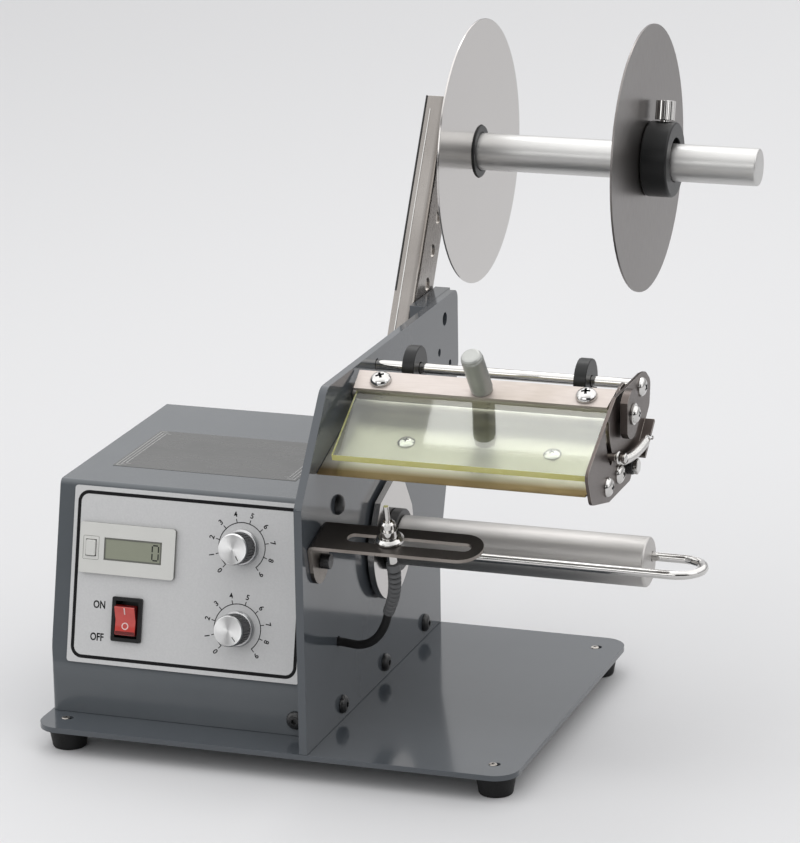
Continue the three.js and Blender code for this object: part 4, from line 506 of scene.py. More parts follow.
base_screw = cross_head("base_screw", [(1.5, -1.6), (1.6, -0.4), (2.0, 0.1), (1.8, 0.3), (1.0, 0.4)], sides=24,
    arm=(0.9, 0.25), depth=0.6)
base_screw.data.materials[0] = satin_steel
base_screw_places = [(-122.3, 14), (88.7, 14.1), (88.8, 179.7), (-122.3, 180.6)]
repeated(base_screw, [at(x, y, 0) for x, y in base_screw_places], turn=0.4)

# Main plate: 3.8 mm sheet on edge, painted like the base. Black button-head screws with a hexagon
# socket go through its foot, and a domed cap closes the hole above the bracket.
eased("main_plate", slate_paint, edge=0.35, angle=50)


def button_head(name, radius, height, socket):
    """A black button-head screw with its hexagon socket."""
    head = drawn_up(name, 32, [(radius * 0.6, -1.2), (radius * 0.6, 0.05), (radius, 0.06), (radius, height * 0.3),
        (radius * 0.9, height * 0.62), (radius * 0.68, height * 0.9), (radius * 0.5, height)])
    bpy.ops.mesh.primitive_cylinder_add(vertices=6, radius=socket / 1000, depth=height * 1.3 / 1000,
        location=(0, 0, height / 1000))
    key = bpy.context.active_object
    return shaded(carved(head, key), black_steel)


plate_face = 4.0
button_size = (4.4, 2.5, 1.5)
plate_screw = button_head("plate_screw", *button_size)
repeated(plate_screw, [at(plate_face, y, 8) for y in (48.5, 109, 169.5)], (1, 0, 0), turn=0.5)
housing_screw = button_head("housing_screw", *button_size)
fitted(set_down(housing_screw, at(-9.8, 22.4, 7.8), (0, -1, 0)))

cap_dome = drawn_up("hole_cap", 32, [(2.5, -1.5), (2.5, 0.05), (4.8, 0.06), (4.7, 0.8), (4.1, 1.7), (3.0, 2.4),
    (1.5, 2.8), (0.3, 2.9)])
shaded(cap_dome, black_plastic, 40)
fitted(set_down(cap_dome, at(plate_face, 48, 106), (1, 0, 0)))

# Housing: steel sheet folded over the electronics and painted in a darker, finely textured slate. A
# button-head screw low in its front holds it down.
eased("housing_cover", housing_paint, edge=0.25, angle=40)

# Notice film: a smoked film on the housing's top, bare but for thin pale lines along its two sides,
# each with a short return at its ends.
film_low, film_high = (-117.5, 69), (-24.7, 129.5)
top_height = 108.6
smoked_film = finish("smoked_film", (0.080, 0.080, 0.078), (0.096, 0.096, 0.093), patches=26,
    stretch=(60, 160, 60), depth=0.25, roughness=(0.24, 0.34))
pale_print = finish("pale_print", (0.40, 0.40, 0.395), (0.34, 0.34, 0.335), patches=60, amount=0.5, stretch=900,
    depth=0.05)


def slab(name, low, high, material):
    """A thin flat slab between two corners, its edges eased."""
    size = [high[axis] - low[axis] for axis in range(3)]
    bpy.ops.mesh.primitive_cube_add(size=1)
    piece = bpy.context.active_object
    piece.name = name
    piece.data.transform(Matrix.Diagonal((*(length / 1000 for length in size), 1)))
    piece.data.transform(Matrix.Translation([(low[axis] + high[axis]) / 2000 for axis in range(3)]))
    return shaded(applied(piece, "BEVEL", width=min(size) * 0.25 / 1000), material)


film_thickness, line_low, line_high = 0.12, 0.1, 0.2
film = slab("notice_film", (*film_low, 0), (*film_high, film_thickness), smoked_film)
fitted(set_down(film, at(0, 0, top_height)))
lines = []
line_width, line_pitch, first_line, line_return = 0.5, 1.75, 1.3, 2.6
for ring in range(3):
    inset = first_line + ring * line_pitch
    for edge_x, towards in ((film_low[0], 1), (film_high[0], -1)):
        x = edge_x + towards * inset
        lines.append(slab("line", (x - line_width / 2, film_low[1] + inset, line_low),
            (x + line_width / 2, film_high[1] - inset, line_high), pale_print))
        for y in (film_low[1] + inset, film_high[1] - inset):
            along = sorted((x, x + towards * line_return))
            lines.append(slab("line", (along[0], y - line_width / 2, line_low),
                (along[1], y + line_width / 2, line_high), pale_print))
corner_lines = joined("film_corner_lines", lines)
fitted(set_down(corner_lines, at(0, 0, top_height)))

# Control panel: a stiff silver film with a fine metallic sparkle, a black line round it and black
# figures round each dial. It leans back with the housing's front.
silver_film = finish("silver_film", (0.60, 0.602, 0.606), (0.67, 0.671, 0.674), patches=1100, amount=0.5,
    stretch=1800, depth=0.10, roughness=(0.34, 0.46), metallic=0.1)
pale_edge = finish("pale_edge", (0.72, 0.72, 0.73), (0.66, 0.66, 0.67), patches=200, amount=0.5, depth=0.05)
black_print = finish("black_print", (0.006, 0.006, 0.007), (0.011, 0.011, 0.012), patches=200, amount=0.5,
    depth=0.05, roughness=(0.45, 0.55), Specular_IOR_Level=0.15)
eased("control_panel", silver_film, angle=50, edge_wear_and_shade=pale_edge)
panel_lean = math.radians(13)
panel_out = Vector((0, -math.cos(panel_lean), math.sin(panel_lean)))
panel_up = Vector((0, math.sin(panel_lean), math.cos(panel_lean)))
panel_foot = (0, 22.4, 21.3)
panel_face = 1.0


def on_panel(piece, x=0.0, up=0.0, out=panel_face):
    """Lays a piece that was made flat on the floor on the panel, its top away from the housing."""
    tilt = Matrix((Vector((1, 0, 0)), panel_up, panel_out)).transposed().to_4x4()
    place = at(*panel_foot) + panel_up * up / 1000 + panel_out * out / 1000 + Vector((x / 1000, 0, 0))
    return settled(piece, Matrix.Translation(place) @ tilt)


def bent_strip(name, low, high, radius, width, thickness, material, steps=6):
    """A flat line of even width round a rectangle with round corners."""
    rings = []
    for inset in (0, width):
        ring = []
        for corner_x, corner_y, first in ((high[0], high[1], 0), (low[0], high[1], 90), (low[0], low[1], 180),
                (high[0], low[1], 270)):
            centre_x = corner_x - math.copysign(radius, corner_x - (low[0] + high[0]) / 2)
            centre_y = corner_y - math.copysign(radius, corner_y - (low[1] + high[1]) / 2)
            for step in range(steps + 1):
                turn = math.radians(first + 90 * step / steps)
                ring.append(((centre_x + (radius - inset) * math.cos(turn)) / 1000,
                    (centre_y + (radius - inset) * math.sin(turn)) / 1000, 0))
        rings.append(ring)
    line = skinned(name, rings, capped=False)
    return shaded(applied(line, "SOLIDIFY", thickness=thickness / 1000, offset=0), material)


print_depth, print_face = 0.06, panel_face + 0.02
border = bent_strip("panel_border", (-122.8, 6.1), (-9.4, 85.5), 5.6, 1.65, print_depth, black_print, steps=10)
fitted(on_panel(border, out=print_face))


def stripe(name, low, high, material=black_print):
    """A printed rectangle between two corners, centred on the floor's height."""
    return slab(name, (*low, -print_depth / 2), (*high, print_depth / 2), material)


def figure(text, size, bold):
    """One line of plain figures, flat and centred at the origin, its strokes widened by the bold amount."""
    bpy.ops.object.text_add(location=(0, 0, 0))
    writing = bpy.context.active_object
    writing.data.body = text
    writing.data.size = size / 1000
    writing.data.align_x = "CENTER"
    writing.data.align_y = "CENTER"
    writing.data.extrude = print_depth / 2000
    writing.data.offset = bold / 1000
    writing.data.resolution_u = 3
    bpy.ops.object.convert(target="MESH")
    return shaded(writing, black_print)


def moved(piece, x=0.0, y=0.0, turn=0.0):
    """Shifts a flat piece by millimetres after turning it."""
    piece.data.transform(Matrix.Translation((x / 1000, y / 1000, 0)) @ Matrix.Rotation(turn, 4, "Z"))
    return piece


dial_x = -39.6
dial_ups = {"length": 65.2, "speed": 27.2}
scale_radius, scale_line, tick_length, digit_radius = 11.3, 0.42, 2.1, 15.4
first_mark, mark_step = math.radians(-138.5), math.radians(30.9)
arc_pieces = 48
for dial, up in dial_ups.items():
    marks = []
    for number in range(10):
        turn = first_mark + number * mark_step
        tick = stripe("tick", (-0.2, scale_radius), (0.2, scale_radius + tick_length))
        marks.append(moved(tick, turn=-turn))
        digit = figure(str(number), 3.5, bold=0.08)
        marks.append(moved(digit, digit_radius * math.sin(turn), digit_radius * math.cos(turn), -turn * 0.95))
    arc_step = 9 * mark_step / arc_pieces
    arc_reach = math.tan(arc_step / 2) * scale_radius + 0.1
    for step in range(arc_pieces):
        piece = stripe("arc", (-arc_reach, scale_radius), (arc_reach, scale_radius + scale_line))
        marks.append(moved(piece, turn=-(first_mark + (step + 0.5) * arc_step)))
    dial_scale = joined(f"{dial}_scale", marks)
    fitted(on_panel(dial_scale, dial_x, up, print_face))

# The words beside the power switch: ON above and OFF below, to its left, printed in narrow letters
# in the same black as the dial figures.
word_narrowing = 0.78
for word, x, up in (("ON", -109.3, 31.9), ("OFF", -109.8, 16.6)):
    letters = figure(word, 5.0, bold=0.13)
    letters.name = f"word_{word}"
    letters.data.transform(Matrix.Diagonal((word_narrowing, 1, 1, 1)))
    fitted(on_panel(letters, x, up, print_face))

# Counter: a grey plastic module that snaps into the panel, with a recessed green display that shows
# one figure, and a reset button beside it. Its sides are painted darker grey as shade.
# The counter's sides get a darker grey: painted shade.
grey_painted_shade = finish("grey_painted_shade", (0.20, 0.205, 0.19), (0.25, 0.255, 0.24), stretch=2000, depth=0.15,
    roughness=(0.4, 0.5))
counter = eased("counter_body", grey_plastic, angle=40)
faced(counter, grey_painted_shade, lambda face: face.normal.dot(panel_out) < 0.3)
display_green = finish("display_green", (0.30, 0.315, 0.245), (0.275, 0.29, 0.225), patches=150, amount=0.4,
    stretch=900, roughness=(0.12, 0.18), Coat_Weight=0.4)
display_dark = finish("display_dark", (0.018, 0.022, 0.018), (0.026, 0.03, 0.026), patches=300, amount=0.5,
    stretch=900, roughness=(0.2, 0.3))
eased("counter_window", display_green, edge=0.1, steps=1, angle=40)
eased("reset_button", grey_plastic, edge=0.35, angle=40)
counter_x, counter_up = -96.1, 58.8
window_x, digit_x, button_x = counter_x + 2.9, counter_x + 14.2, counter_x - 18.2
window_face, button_face = panel_face + 1.8, panel_face + 2.0
segments = []
segment_width, segment_gap, digit_width, digit_height = 0.62, 0.35, 3.1, 7.0
for across, along in ((0, 2), (0, -2), (-1, 1), (1, 1), (-1, -1), (1, -1)):
    x, y = across * digit_width / 2, along * digit_height / 4
    half = (segment_width / 2, digit_height / 4 - segment_gap)
    if not across:
        half = (digit_width / 2 - segment_gap, segment_width / 2)
    segments.append(stripe("segment", (x - half[0], y - half[1]), (x + half[0], y + half[1]), display_dark))
shown_figure = joined("shown_figure", segments)
fitted(on_panel(shown_figure, digit_x, counter_up, window_face + 0.02))
display_shade = finish("display_shade", (0.13, 0.135, 0.115), (0.17, 0.175, 0.15), patches=200, stretch=900)
# A thin grey line round the display window is painted shade of its recess.
display_recess_shade = bent_strip("display_recess_shade", (-14.3, -5.1), (14.3, 5.1), 0.4, 0.6, 0.12, display_shade, steps=2)
fitted(on_panel(display_recess_shade, window_x, counter_up, window_face + 0.05))
button_line = bent_strip("button_line", (-4.0, -5.6), (4.0, 5.6), 0.6, 0.14, print_depth, display_shade, steps=4)
fitted(on_panel(button_line, button_x, counter_up, button_face + 0.02))

# Power switch: a black plastic frame that snaps into the panel, round a red rocker that glows. A
# printed stroke marks on and a ring marks off. The rocker's sides and a band at its foot are painted
# dark red as shade.
eased("rocker_frame", black_plastic, edge=0.4, steps=3, angle=40)
red_lens = finish("red_lens", (0.50, 0.060, 0.048), (0.40, 0.035, 0.030), patches=180, stretch=900, depth=0.03,
    roughness=(0.12, 0.2), Coat_Weight=0.4, Emission_Color=(0.6, 0.05, 0.04, 1), Emission_Strength=0.12)
# Dark red on the rocker's sides and its foot band: painted shade.
red_painted_shade = finish("red_painted_shade", (0.14, 0.008, 0.008), (0.09, 0.005, 0.005), patches=180, stretch=900, depth=0.03,
    roughness=(0.12, 0.2), Coat_Weight=0.4)
rocker = eased("rocker_key", red_lens, edge=0.35, angle=30)
rocker_low, rocker_high = (Vector(value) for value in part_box("rocker_key"))
rocker_middle = (rocker_low + rocker_high) / 2
rocker_narrower, rocker_shorter, rocker_lift = 0.95, 0.94, 0.0003
for vertex in rocker.data.vertices:
    away = vertex.co - rocker_middle
    vertex.co.x = rocker_middle.x + away.x * rocker_narrower
    vertex.co += panel_up * (rocker_lift - away.dot(panel_up) * (1 - rocker_shorter))
faced(rocker, red_painted_shade, lambda face: face.normal.dot(panel_out) < 0.8)
white_print = finish("white_print", (0.80, 0.62, 0.60), (0.74, 0.55, 0.53), patches=200, amount=0.5, stretch=900)
rocker_x, rocker_up = -94.7, 26.3


def laid_on(piece, carrier, lift):
    """Lowers a flat piece that hangs in front of the panel until it lies on the carrier's face."""
    carrier_face = BVHTree.FromPolygons([vertex.co for vertex in carrier.data.vertices],
        [tuple(face.vertices) for face in carrier.data.polygons])
    heights = [vertex.co.dot(panel_out) for vertex in piece.data.vertices]
    middle_height = (min(heights) + max(heights)) / 2
    for vertex, height in zip(piece.data.vertices, heights):
        met = carrier_face.ray_cast(vertex.co + panel_out * 0.02, -panel_out)[0]
        if met:
            vertex.co = met + panel_out * (lift / 1000 + height - middle_height)
    return piece


def patched(name, low, high, parts, material):
    """A flat mark in many short parts, so that it can follow a bent face."""
    step = (high[1] - low[1]) / parts
    return joined(name, [stripe(name, (low[0], low[1] + step * part), (high[0], low[1] + step * (part + 1)), material)
        for part in range(parts)])


stroke = patched("on_stroke", (-0.3, -1.6), (0.3, 1.6), 8, white_print)
# The band at the rocker's foot is painted shade of its step.
step_shade_band = patched("rocker_step_shade", (-4.9, -1.0), (4.9, 1.0), 6, red_painted_shade)
ring = bent_strip("off_ring", (-1.7, -1.7), (1.7, 1.7), 1.7, 0.5, print_depth, white_print, steps=8)
above_rocker = 8
for mark, up, lift, slot in ((stroke, 4.3, 0.06, "panel_film"), (step_shade_band, -6.4, 0.03, "red_lens"),
        (ring, -2.9, 0.03, "panel_film")):
    fitted(laid_on(on_panel(mark, rocker_x, rocker_up + up, above_rocker), rocker, lift), "power_rocker")

# Dials: turned aluminium knobs. The side is ribbed and painted dark as shade, the edge is
# chamfered bright, and the turning marks on the face spread the light into a cone. A line shows
# where the dial points.
spun_face = finish("spun_face", (0.90, 0.90, 0.895), (0.84, 0.84, 0.835), patches=40, amount=0.4, stretch=300,
    depth=0.0, roughness=(0.30, 0.36), metallic=1.0, Anisotropic=0.75)
spun_tree = spun_face.node_tree
wired(spun_tree, (added(spun_tree, "Tangent", direction_type="UV_MAP", uv_map="turned"), "Tangent",
    spun_tree.nodes["Principled BSDF"], "Tangent"))
# The ribbed sides are the same aluminium painted dark: painted shade.
ribbed_shade = finish("ribbed_shade", (0.16, 0.16, 0.165), (0.11, 0.11, 0.114), patches=150, depth=0.1,
    roughness=(0.25, 0.36), metallic=0.9)
skirt_satin = finish("skirt_satin", (0.60, 0.60, 0.605), (0.52, 0.52, 0.525), patches=60, amount=0.5, depth=0.1,
    roughness=(0.3, 0.42), metallic=1.0)
knob_top, knob_sides, skirt_top, rib_low, rib_high, rib_depth, side_top = 12.5, 96, 2.45, 2.6, 11.4, 0.4, 11.8
pointer_turns = {"length": 150, "speed": 140}
face_rings = [(6.75, knob_top), (4.5, knob_top + 0.01), (2.2, knob_top + 0.02), (0.2, knob_top + 0.03)]
for dial, up in dial_ups.items():
    knob = drawn_up(f"{dial}_dial_knob", knob_sides, [(7.9, 0.3), (8.4, 0.5), (8.4, 1.7), (7.9, 2.3), (7.4, 2.4),
        (7.4, rib_high), (7.25, side_top), (7.2, 11.85), (6.85, 12.45), *face_rings])
    alone(knob)
    bpy.ops.object.mode_set(mode="EDIT")
    bpy.ops.mesh.select_mode(type="FACE")
    bpy.ops.mesh.select_all(action="DESELECT")
    bpy.ops.object.mode_set(mode="OBJECT")
    for face in knob.data.polygons:
        on_side = rib_low < face.center.z * 1000 < rib_high and abs(face.normal.z) < 0.3
        side = math.atan2(face.center.y, face.center.x) / (2 * math.pi) * knob_sides - 0.5
        face.select = on_side and round(side) % 3 == 0
    bpy.ops.object.mode_set(mode="EDIT")
    bpy.ops.mesh.extrude_faces_move(TRANSFORM_OT_shrink_fatten={"value": -rib_depth / 1000})
    bpy.ops.object.mode_set(mode="OBJECT")
    shaded(knob, spun_face, 25)
    turned = knob.data.uv_layers.new(name="turned")
    for face in knob.data.polygons:
        middle_turn = math.atan2(face.center.y, face.center.x)
        for loop in face.loop_indices:
            place = knob.data.vertices[knob.data.loops[loop].vertex_index].co
            turn = math.atan2(place.y, place.x)
            turn += 2 * math.pi * round((middle_turn - turn) / (2 * math.pi))
            turned.data[loop].uv = (turn / (2 * math.pi), place.xy.length * 100)
    faced(knob, ribbed_shade, lambda face: face.center.z * 1000 < side_top)
    faced(knob, skirt_satin, lambda face: face.center.z * 1000 < skirt_top)
    fitted(on_panel(knob, dial_x, up, panel_face), f"{dial}_dial", (f"{dial}_knob",))
    pointer = stripe("pointer", (-0.2, 3.4), (0.2, 5.9))
    pointer.name = f"{dial}_pointer"
    moved(pointer, turn=-math.radians(pointer_turns[dial]))
    fitted(on_panel(pointer, dial_x, up, panel_face + knob_top + 0.05), f"{dial}_dial")
    eased(f"{dial}_potentiometer", satin_aluminium, edge=0.2, steps=1)

# Inside the housing and behind it: a green circuit board, the transformer, the gear motor on the back
# of the main plate, and the mains inlet, a black plastic socket in the housing's back.
eased("circuit_board", board_green, edge=0.1, steps=1)
eased("transformer", black_plastic, edge=0.6)
eased("power_inlet", black_plastic)
eased("gear_motor", satin_aluminium, edge=0.6)

# Strut and its spacer: a folded stainless channel, held to the main plate by two black bolts through
# a painted block. Its front and web are painted darker as shade. A bright bead up its front is a painted
# highlight of the fold, and a dark line beside it a painted reflection.
channel_steel = finish("channel_steel", (0.52, 0.49, 0.46), (0.44, 0.40, 0.365), patches=30,
    stretch=(1300, 450, 120), depth=0.03, roughness=(0.17, 0.25), metallic=1.0)
strut = eased("roll_strut", channel_steel, edge=0.25, fold=3.2)
# The channel's front and web faces are painted darker steel: painted shade.
front_steel_shade = finish("front_steel_shade", (0.36, 0.338, 0.318), (0.28, 0.26, 0.243), patches=26, amount=0.7,
    stretch=(1300, 450, 120), depth=0.03, roughness=(0.18, 0.28), metallic=1.0)
web_steel_shade = finish("web_steel_shade", (0.34, 0.32, 0.30), (0.27, 0.25, 0.232), patches=30, amount=0.7,
    stretch=(1300, 450, 120), depth=0.03, roughness=(0.2, 0.3), metallic=1.0)
faced(strut, web_steel_shade, lambda face: face.normal.x > 0.7)
faced(strut, front_steel_shade, lambda face: face.normal.y < -0.7)
front_faces = [face for face in strut.data.polygons if face.normal.y < -0.7]
broadest = max(front_faces, key=lambda face: face.area)
flange = max((face for face in front_faces if face.area > 0.3 * broadest.area),
    key=lambda face: face.center.dot(broadest.normal))
flange_corners = [strut.data.vertices[index].co.copy() for index in flange.vertices]
flange_left = min(corner.x for corner in flange_corners)
flange_width = max(corner.x for corner in flange_corners) - flange_left
flange_foot = min(flange_corners, key=lambda corner: corner.z)
flange_head = max(flange_corners, key=lambda corner: corner.z)
# A bright chrome bead stands for the fold's highlight, and a black line beside it for a dark reflection: painted
# highlight and painted reflection.
bead_steps = 12
for name, share, radius, low_share, high_share, material in (("strut_highlight_bead", 0.42, 0.4, 0.02, 0.95, bright_chrome),
        ("strut_dark_reflection_line", 0.06, 0.5, 0.25, 1.0, black_steel)):
    bead_points = []
    for step in range(bead_steps + 1):
        reach = low_share + (high_share - low_share) * step / bead_steps
        place = flange_foot.lerp(flange_head, reach)
        place.x = flange_left + flange_width * share
        bead_points.append(place)
    bead = shaded(tube(name, bead_points, [radius / 1000] * len(bead_points), 10), material, 60)
    fitted(bead)
eased("spacer_block", slate_paint, edge=0.4)
eased("strut_bolt_upper", black_steel)
eased("strut_bolt_lower", black_steel)

# Roll spindle: a satin aluminium bar that turns in a plastic bearing in the strut, with a steel disc
# fixed near the plate and another that slides on a black collar, held by a fluted thumbscrew. The
# outer disc's steel is painted much darker than the inner one's, as shade.
eased("spindle_bearing", black_plastic, edge=0.4)
eased("spindle_retainer", satin_steel, edge=0.4)
eased("roll_spindle", satin_aluminium, edge=0.5, steps=3)
eased("inner_disc", disc_steel, edge=0.2)
# The outer disc is the same steel painted darker: painted shade.
outer_disc_shaded_steel = finish("outer_disc_shaded_steel", (0.215, 0.200, 0.194), (0.25, 0.237, 0.230), patches=9, amount=0.7,
    stretch=(1300, 1300, 150), depth=0.015, roughness=(0.30, 0.36), metallic=1.0)
eased("outer_disc", outer_disc_shaded_steel, edge=0.2)
eased("inner_hub", black_plastic)
eased("outer_collar", black_plastic, edge=0.5, steps=3)
eased("thumbscrew", bright_chrome, edge=0.2, angle=20)

# Take-up roller: satin aluminium on the gear motor's shaft, with a steel guide disc and black hub at
# its inner end. The wire clip pushes into a bore beside its axis and holds the backing paper on it.
eased("drive_shaft", satin_aluminium)
# The guide disc's eased rim is painted dark steel: painted shade.
eased("guide_disc", disc_steel, edge_wear_and_shade=shaded_steel)
eased("roller_hub", black_plastic, edge=0.4)
roller_satin = finish("roller_satin", (0.56, 0.545, 0.53), (0.50, 0.485, 0.47), patches=24,
    stretch=(90, 1200, 1200), depth=0.06, roughness=(0.42, 0.50), metallic=1.0)
eased("take_up_roller", roller_satin, edge=0.4)
eased("liner_clip", bright_chrome, edge=0, angle=60)

# Label head: a steel peel plate with a sharp front edge on an aluminium bar, between the main plate
# and a stainless end plate with a slot, and a bright rod with two black label guides behind.
peel_steel = finish("peel_steel", (0.34, 0.33, 0.285), (0.28, 0.27, 0.225), patches=16, amount=0.8,
    stretch=(60, 300, 300), roughness=(0.32, 0.42), metallic=1.0)
peel_tree = peel_steel.node_tree
peel_shader = peel_tree.nodes["Principled BSDF"]
plate_clouds = peel_shader.inputs["Base Color"].links[0].from_node
# The peel plate's front lip is painted dark golden brown: a painted reflection of the cover's yellow edge.
lip_axes = added(peel_tree, "SeparateXYZ")
lip_reflection_mask = added(peel_tree, "MapRange", From_Min=at(0, 30, 0).y, From_Max=at(0, 24, 0).y)
lip_reflection_clouds = added(peel_tree, "Group", node_tree=mottle, Colour=(0.135, 0.097, 0.046, 1),
    Patch_Colour=(0.095, 0.062, 0.024, 1), Patches=28, Amount=0.8)
lip_mix = added(peel_tree, "Mix", data_type="RGBA")
wired(peel_tree, (added(peel_tree, "TexCoord"), "Object", lip_axes, "Vector"), (lip_axes, "Y", lip_reflection_mask, "Value"),
    (lip_reflection_mask, "Result", lip_mix, "Factor"), (plate_clouds, "Colour", lip_mix, "A"),
    (lip_reflection_clouds, "Colour", lip_mix, "B"), (lip_mix, "Result", peel_shader, "Base Color"))
eased("peel_plate", peel_steel, edge=0.15, angle=25)
eased("cross_bar", satin_aluminium, edge=0.4)
# The stainless end plate is painted very dark steel: painted shade.
eased("end_plate", shaded_steel, edge=0.25, edge_wear_and_shade=edge_steel)
eased("guide_rod", bright_chrome, edge=0.2)
for side in ("left", "right"):
    eased(f"label_guide_{side}", black_plastic, edge=0.4)

# Clear cover: a thick sheet of yellowish acrylic. Its cut edges gather light and look bright yellow,
# and light goes through it, so that it throws hardly any shadow.
clear_acrylic = finish("clear_acrylic", (0.92, 0.955, 0.875), (0.90, 0.94, 0.85), patches=12, amount=0.5,
    stretch=200, depth=0.0, roughness=(0.01, 0.03), IOR=1.49, Transmission_Weight=1.0)
acrylic_tree = clear_acrylic.node_tree
lets_light = added(acrylic_tree, "BsdfTransparent", Color=(0.90, 0.91, 0.80, 1))
acrylic_mix = added(acrylic_tree, "MixShader")
wired(acrylic_tree, (added(acrylic_tree, "LightPath"), "Is Shadow Ray", acrylic_mix, "Fac"),
    (acrylic_tree.nodes["Principled BSDF"], "BSDF", acrylic_mix, 1), (lets_light, "BSDF", acrylic_mix, 2),
    (acrylic_mix, "Shader", acrylic_tree.nodes["Material Output"], "Surface"))
bright_edge = finish("bright_edge", (0.72, 0.69, 0.25), (0.78, 0.765, 0.36), patches=90, stretch=(300, 900, 900),
    depth=0.1, roughness=(0.15, 0.3))
cover = eased("clear_cover", clear_acrylic, edge=0.95, edge_wear_and_shade=bright_edge)
cover_slope = math.radians(23)
cover_normal = Vector((0, -math.sin(cover_slope), math.cos(cover_slope)))
for face in cover.data.polygons:
    if abs(face.normal.dot(cover_normal)) < 0.5:
        face.material_index = 1

# Clamp strip, hinge bar and hinge parts: stainless steel, with warm tints in random patches. The
# strip clamps the clear cover to the bar, and the arm carries a pin for the spring.
strip_steel = finish("strip_steel", (0.58, 0.53, 0.50), (0.48, 0.425, 0.375), patches=28, amount=0.7,
    stretch=(125, 1300, 1300), depth=0.05, roughness=(0.55, 0.66), metallic=1.0)
eased("clamp_strip", strip_steel, edge=0.2)
eased("hinge_bar", satin_steel)
# The hinge arm and link are stainless painted very dark: painted shade.
eased("hinge_arm", shaded_steel, edge=0.2, edge_wear_and_shade=edge_steel)
eased("hinge_link", shaded_steel, edge=0.4, steps=3, edge_wear_and_shade=edge_steel)
pin_y, pin_z = 54, 138
pin_head = shaded(drawn_up("pin_head", 32, [(1.2, -0.4), (2.1, -0.3), (2.3, 0.0), (2.3, 0.5), (1.9, 0.95),
    (1.1, 1.25), (0.3, 1.32)]), bright_chrome, 40)
fitted(set_down(pin_head, at(139.3, pin_y, pin_z), (1, 0, 0)), "cover")

# Domed screws: bright plated steel with a cross recess. Two hold the strip, three the end plate and
# one, on a washer, the link.
dome = [(1.6, -3.0), (1.6, 0.0), (5.0, 0.02), (5.1, 0.5), (4.9, 1.2), (4.4, 1.95), (3.6, 2.65), (2.5, 3.15),
    (1.3, 3.4), (0.5, 3.45)]
dome_screw = cross_head("dome_screw", dome, sides=40, arm=(2.1, 0.62), depth=1.7)
link_y, link_z, strip_rise = 74, 153, 7.85
for side_name, turn in (("left", 0.5), ("right", 0.2)):
    low, high = (Vector(value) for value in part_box(f"strip_screw_{side_name}"))
    head_middle = (low + high) / 2
    foot = at(0, link_y, link_z) + cover_normal * strip_rise / 1000
    foot.x = head_middle.x
    one = copied(dome_screw, f"dome_screw_{side_name}")
    fitted(set_down(one, foot + cover_normal * 0.0002, cover_normal, turn), "cover",
        (f"strip_screw_{side_name}",))
end_face = 132.8
end_screw = copied(dome_screw, "end_screw")
end_screw.data.transform(Matrix.Diagonal((0.92, 0.92, 0.85, 1)))
for vertex in end_screw.data.vertices:
    vertex.co.z = max(vertex.co.z, -0.0014)
end_screw_places = [(104, 157.3), (48.4, 125.5), (67, 126.3)]
repeated(end_screw, [at(end_face, y, z) for y, z in end_screw_places], (1, 0, 0), 1, first_turn=0.6)
link_dome = cross_head("link_dome", [(1.2, -3), (1.2, 0.0), (5.0, 0.02), (5.0, 0.8), (4.8, 0.9), (4.0, 0.92),
    (3.9, 1.6), (3.2, 2.5), (2.0, 3.0), (0.9, 3.1)], sides=40, arm=(1.7, 0.5), depth=1.4)
fitted(set_down(link_dome, at(137.8, link_y, link_z), (1, 0, 0), 0.3), "cover", ("link_screw",))
bpy.data.objects.remove(dome_screw)

# Stop stud: a turned black steel sleeve on the end plate below the spring, held by a bright hexagon
# nut.
stud_place = at(end_face, 83, 125.5)
stud = shaded(drawn_up("stop_stud", 32, [(4.0, 0.05), (4.0, 2.6), (3.8, 2.9), (2.2, 2.9)]), black_steel)
fitted(set_down(stud, stud_place, (1, 0, 0)))
stud_nut = shaded(drawn_up("stud_nut", 6, [(3.5, 2.9), (3.7, 3.1), (3.7, 4.9), (3.3, 5.2), (1.6, 5.2)]),
    bright_chrome, 20)
fitted(set_down(stud_nut, stud_place, (1, 0, 0), 0.2))

# Peel plate screws: two bright pan heads with a cross recess, under the clear cover, which hold the
# steel sheet to its bar.
peel_slope = math.radians(18)
peel_normal = (0, -math.sin(peel_slope), math.cos(peel_slope))
peel_edge_y, peel_edge_z = 19.5, 129
peel_screw = cross_head("peel_screw", [(1.4, -1.5), (1.4, 0.0), (4.2, 0.02), (4.1, 0.6), (3.4, 1.3), (1.8, 1.8),
    (0.9, 1.9)], sides=32, arm=(1.6, 0.5), depth=1.1)
repeated(peel_screw, [at(x, y, peel_edge_z + (y - peel_edge_y) * math.tan(peel_slope))
    for x, y in ((38.5, 46.4), (107.9, 46.5))], peel_normal, turn=1)

# Lift handle: an aluminium grip with a diamond knurl between smooth chamfered ends. It leans forwards
# on a stud that goes through the strip, and its foot is cut to sit flat.
grip_radius, grip_length, knurl_sides, knurl_rings, knurl_height = 5.0, 23.0, 48, 30, 0.3
knurl_low, knurl_high = 1.0, 20.9
knurl_pitch = (knurl_high - knurl_low) / knurl_rings
grip = drawn_up("lift_handle_grip", knurl_sides, [(grip_radius - 0.2, -2.4),
    *[(grip_radius, knurl_low + knurl_pitch * ring) for ring in range(knurl_rings + 1)],
    (grip_radius - 0.12, 21.1), (grip_radius - 0.12, 21.9), (grip_radius - 0.7, 22.7), (grip_radius - 1.6, 22.97),
    (0.5, grip_length)])
for vertex in grip.data.vertices:
    ring = (vertex.co.z * 1000 - knurl_low) / knurl_pitch
    if 0.5 < ring < knurl_rings - 0.5:
        side = math.atan2(vertex.co.y, vertex.co.x) / (2 * math.pi) * knurl_sides
        if (round(ring) + round(side)) % 2:
            vertex.co.xy *= 1 + knurl_height / grip_radius
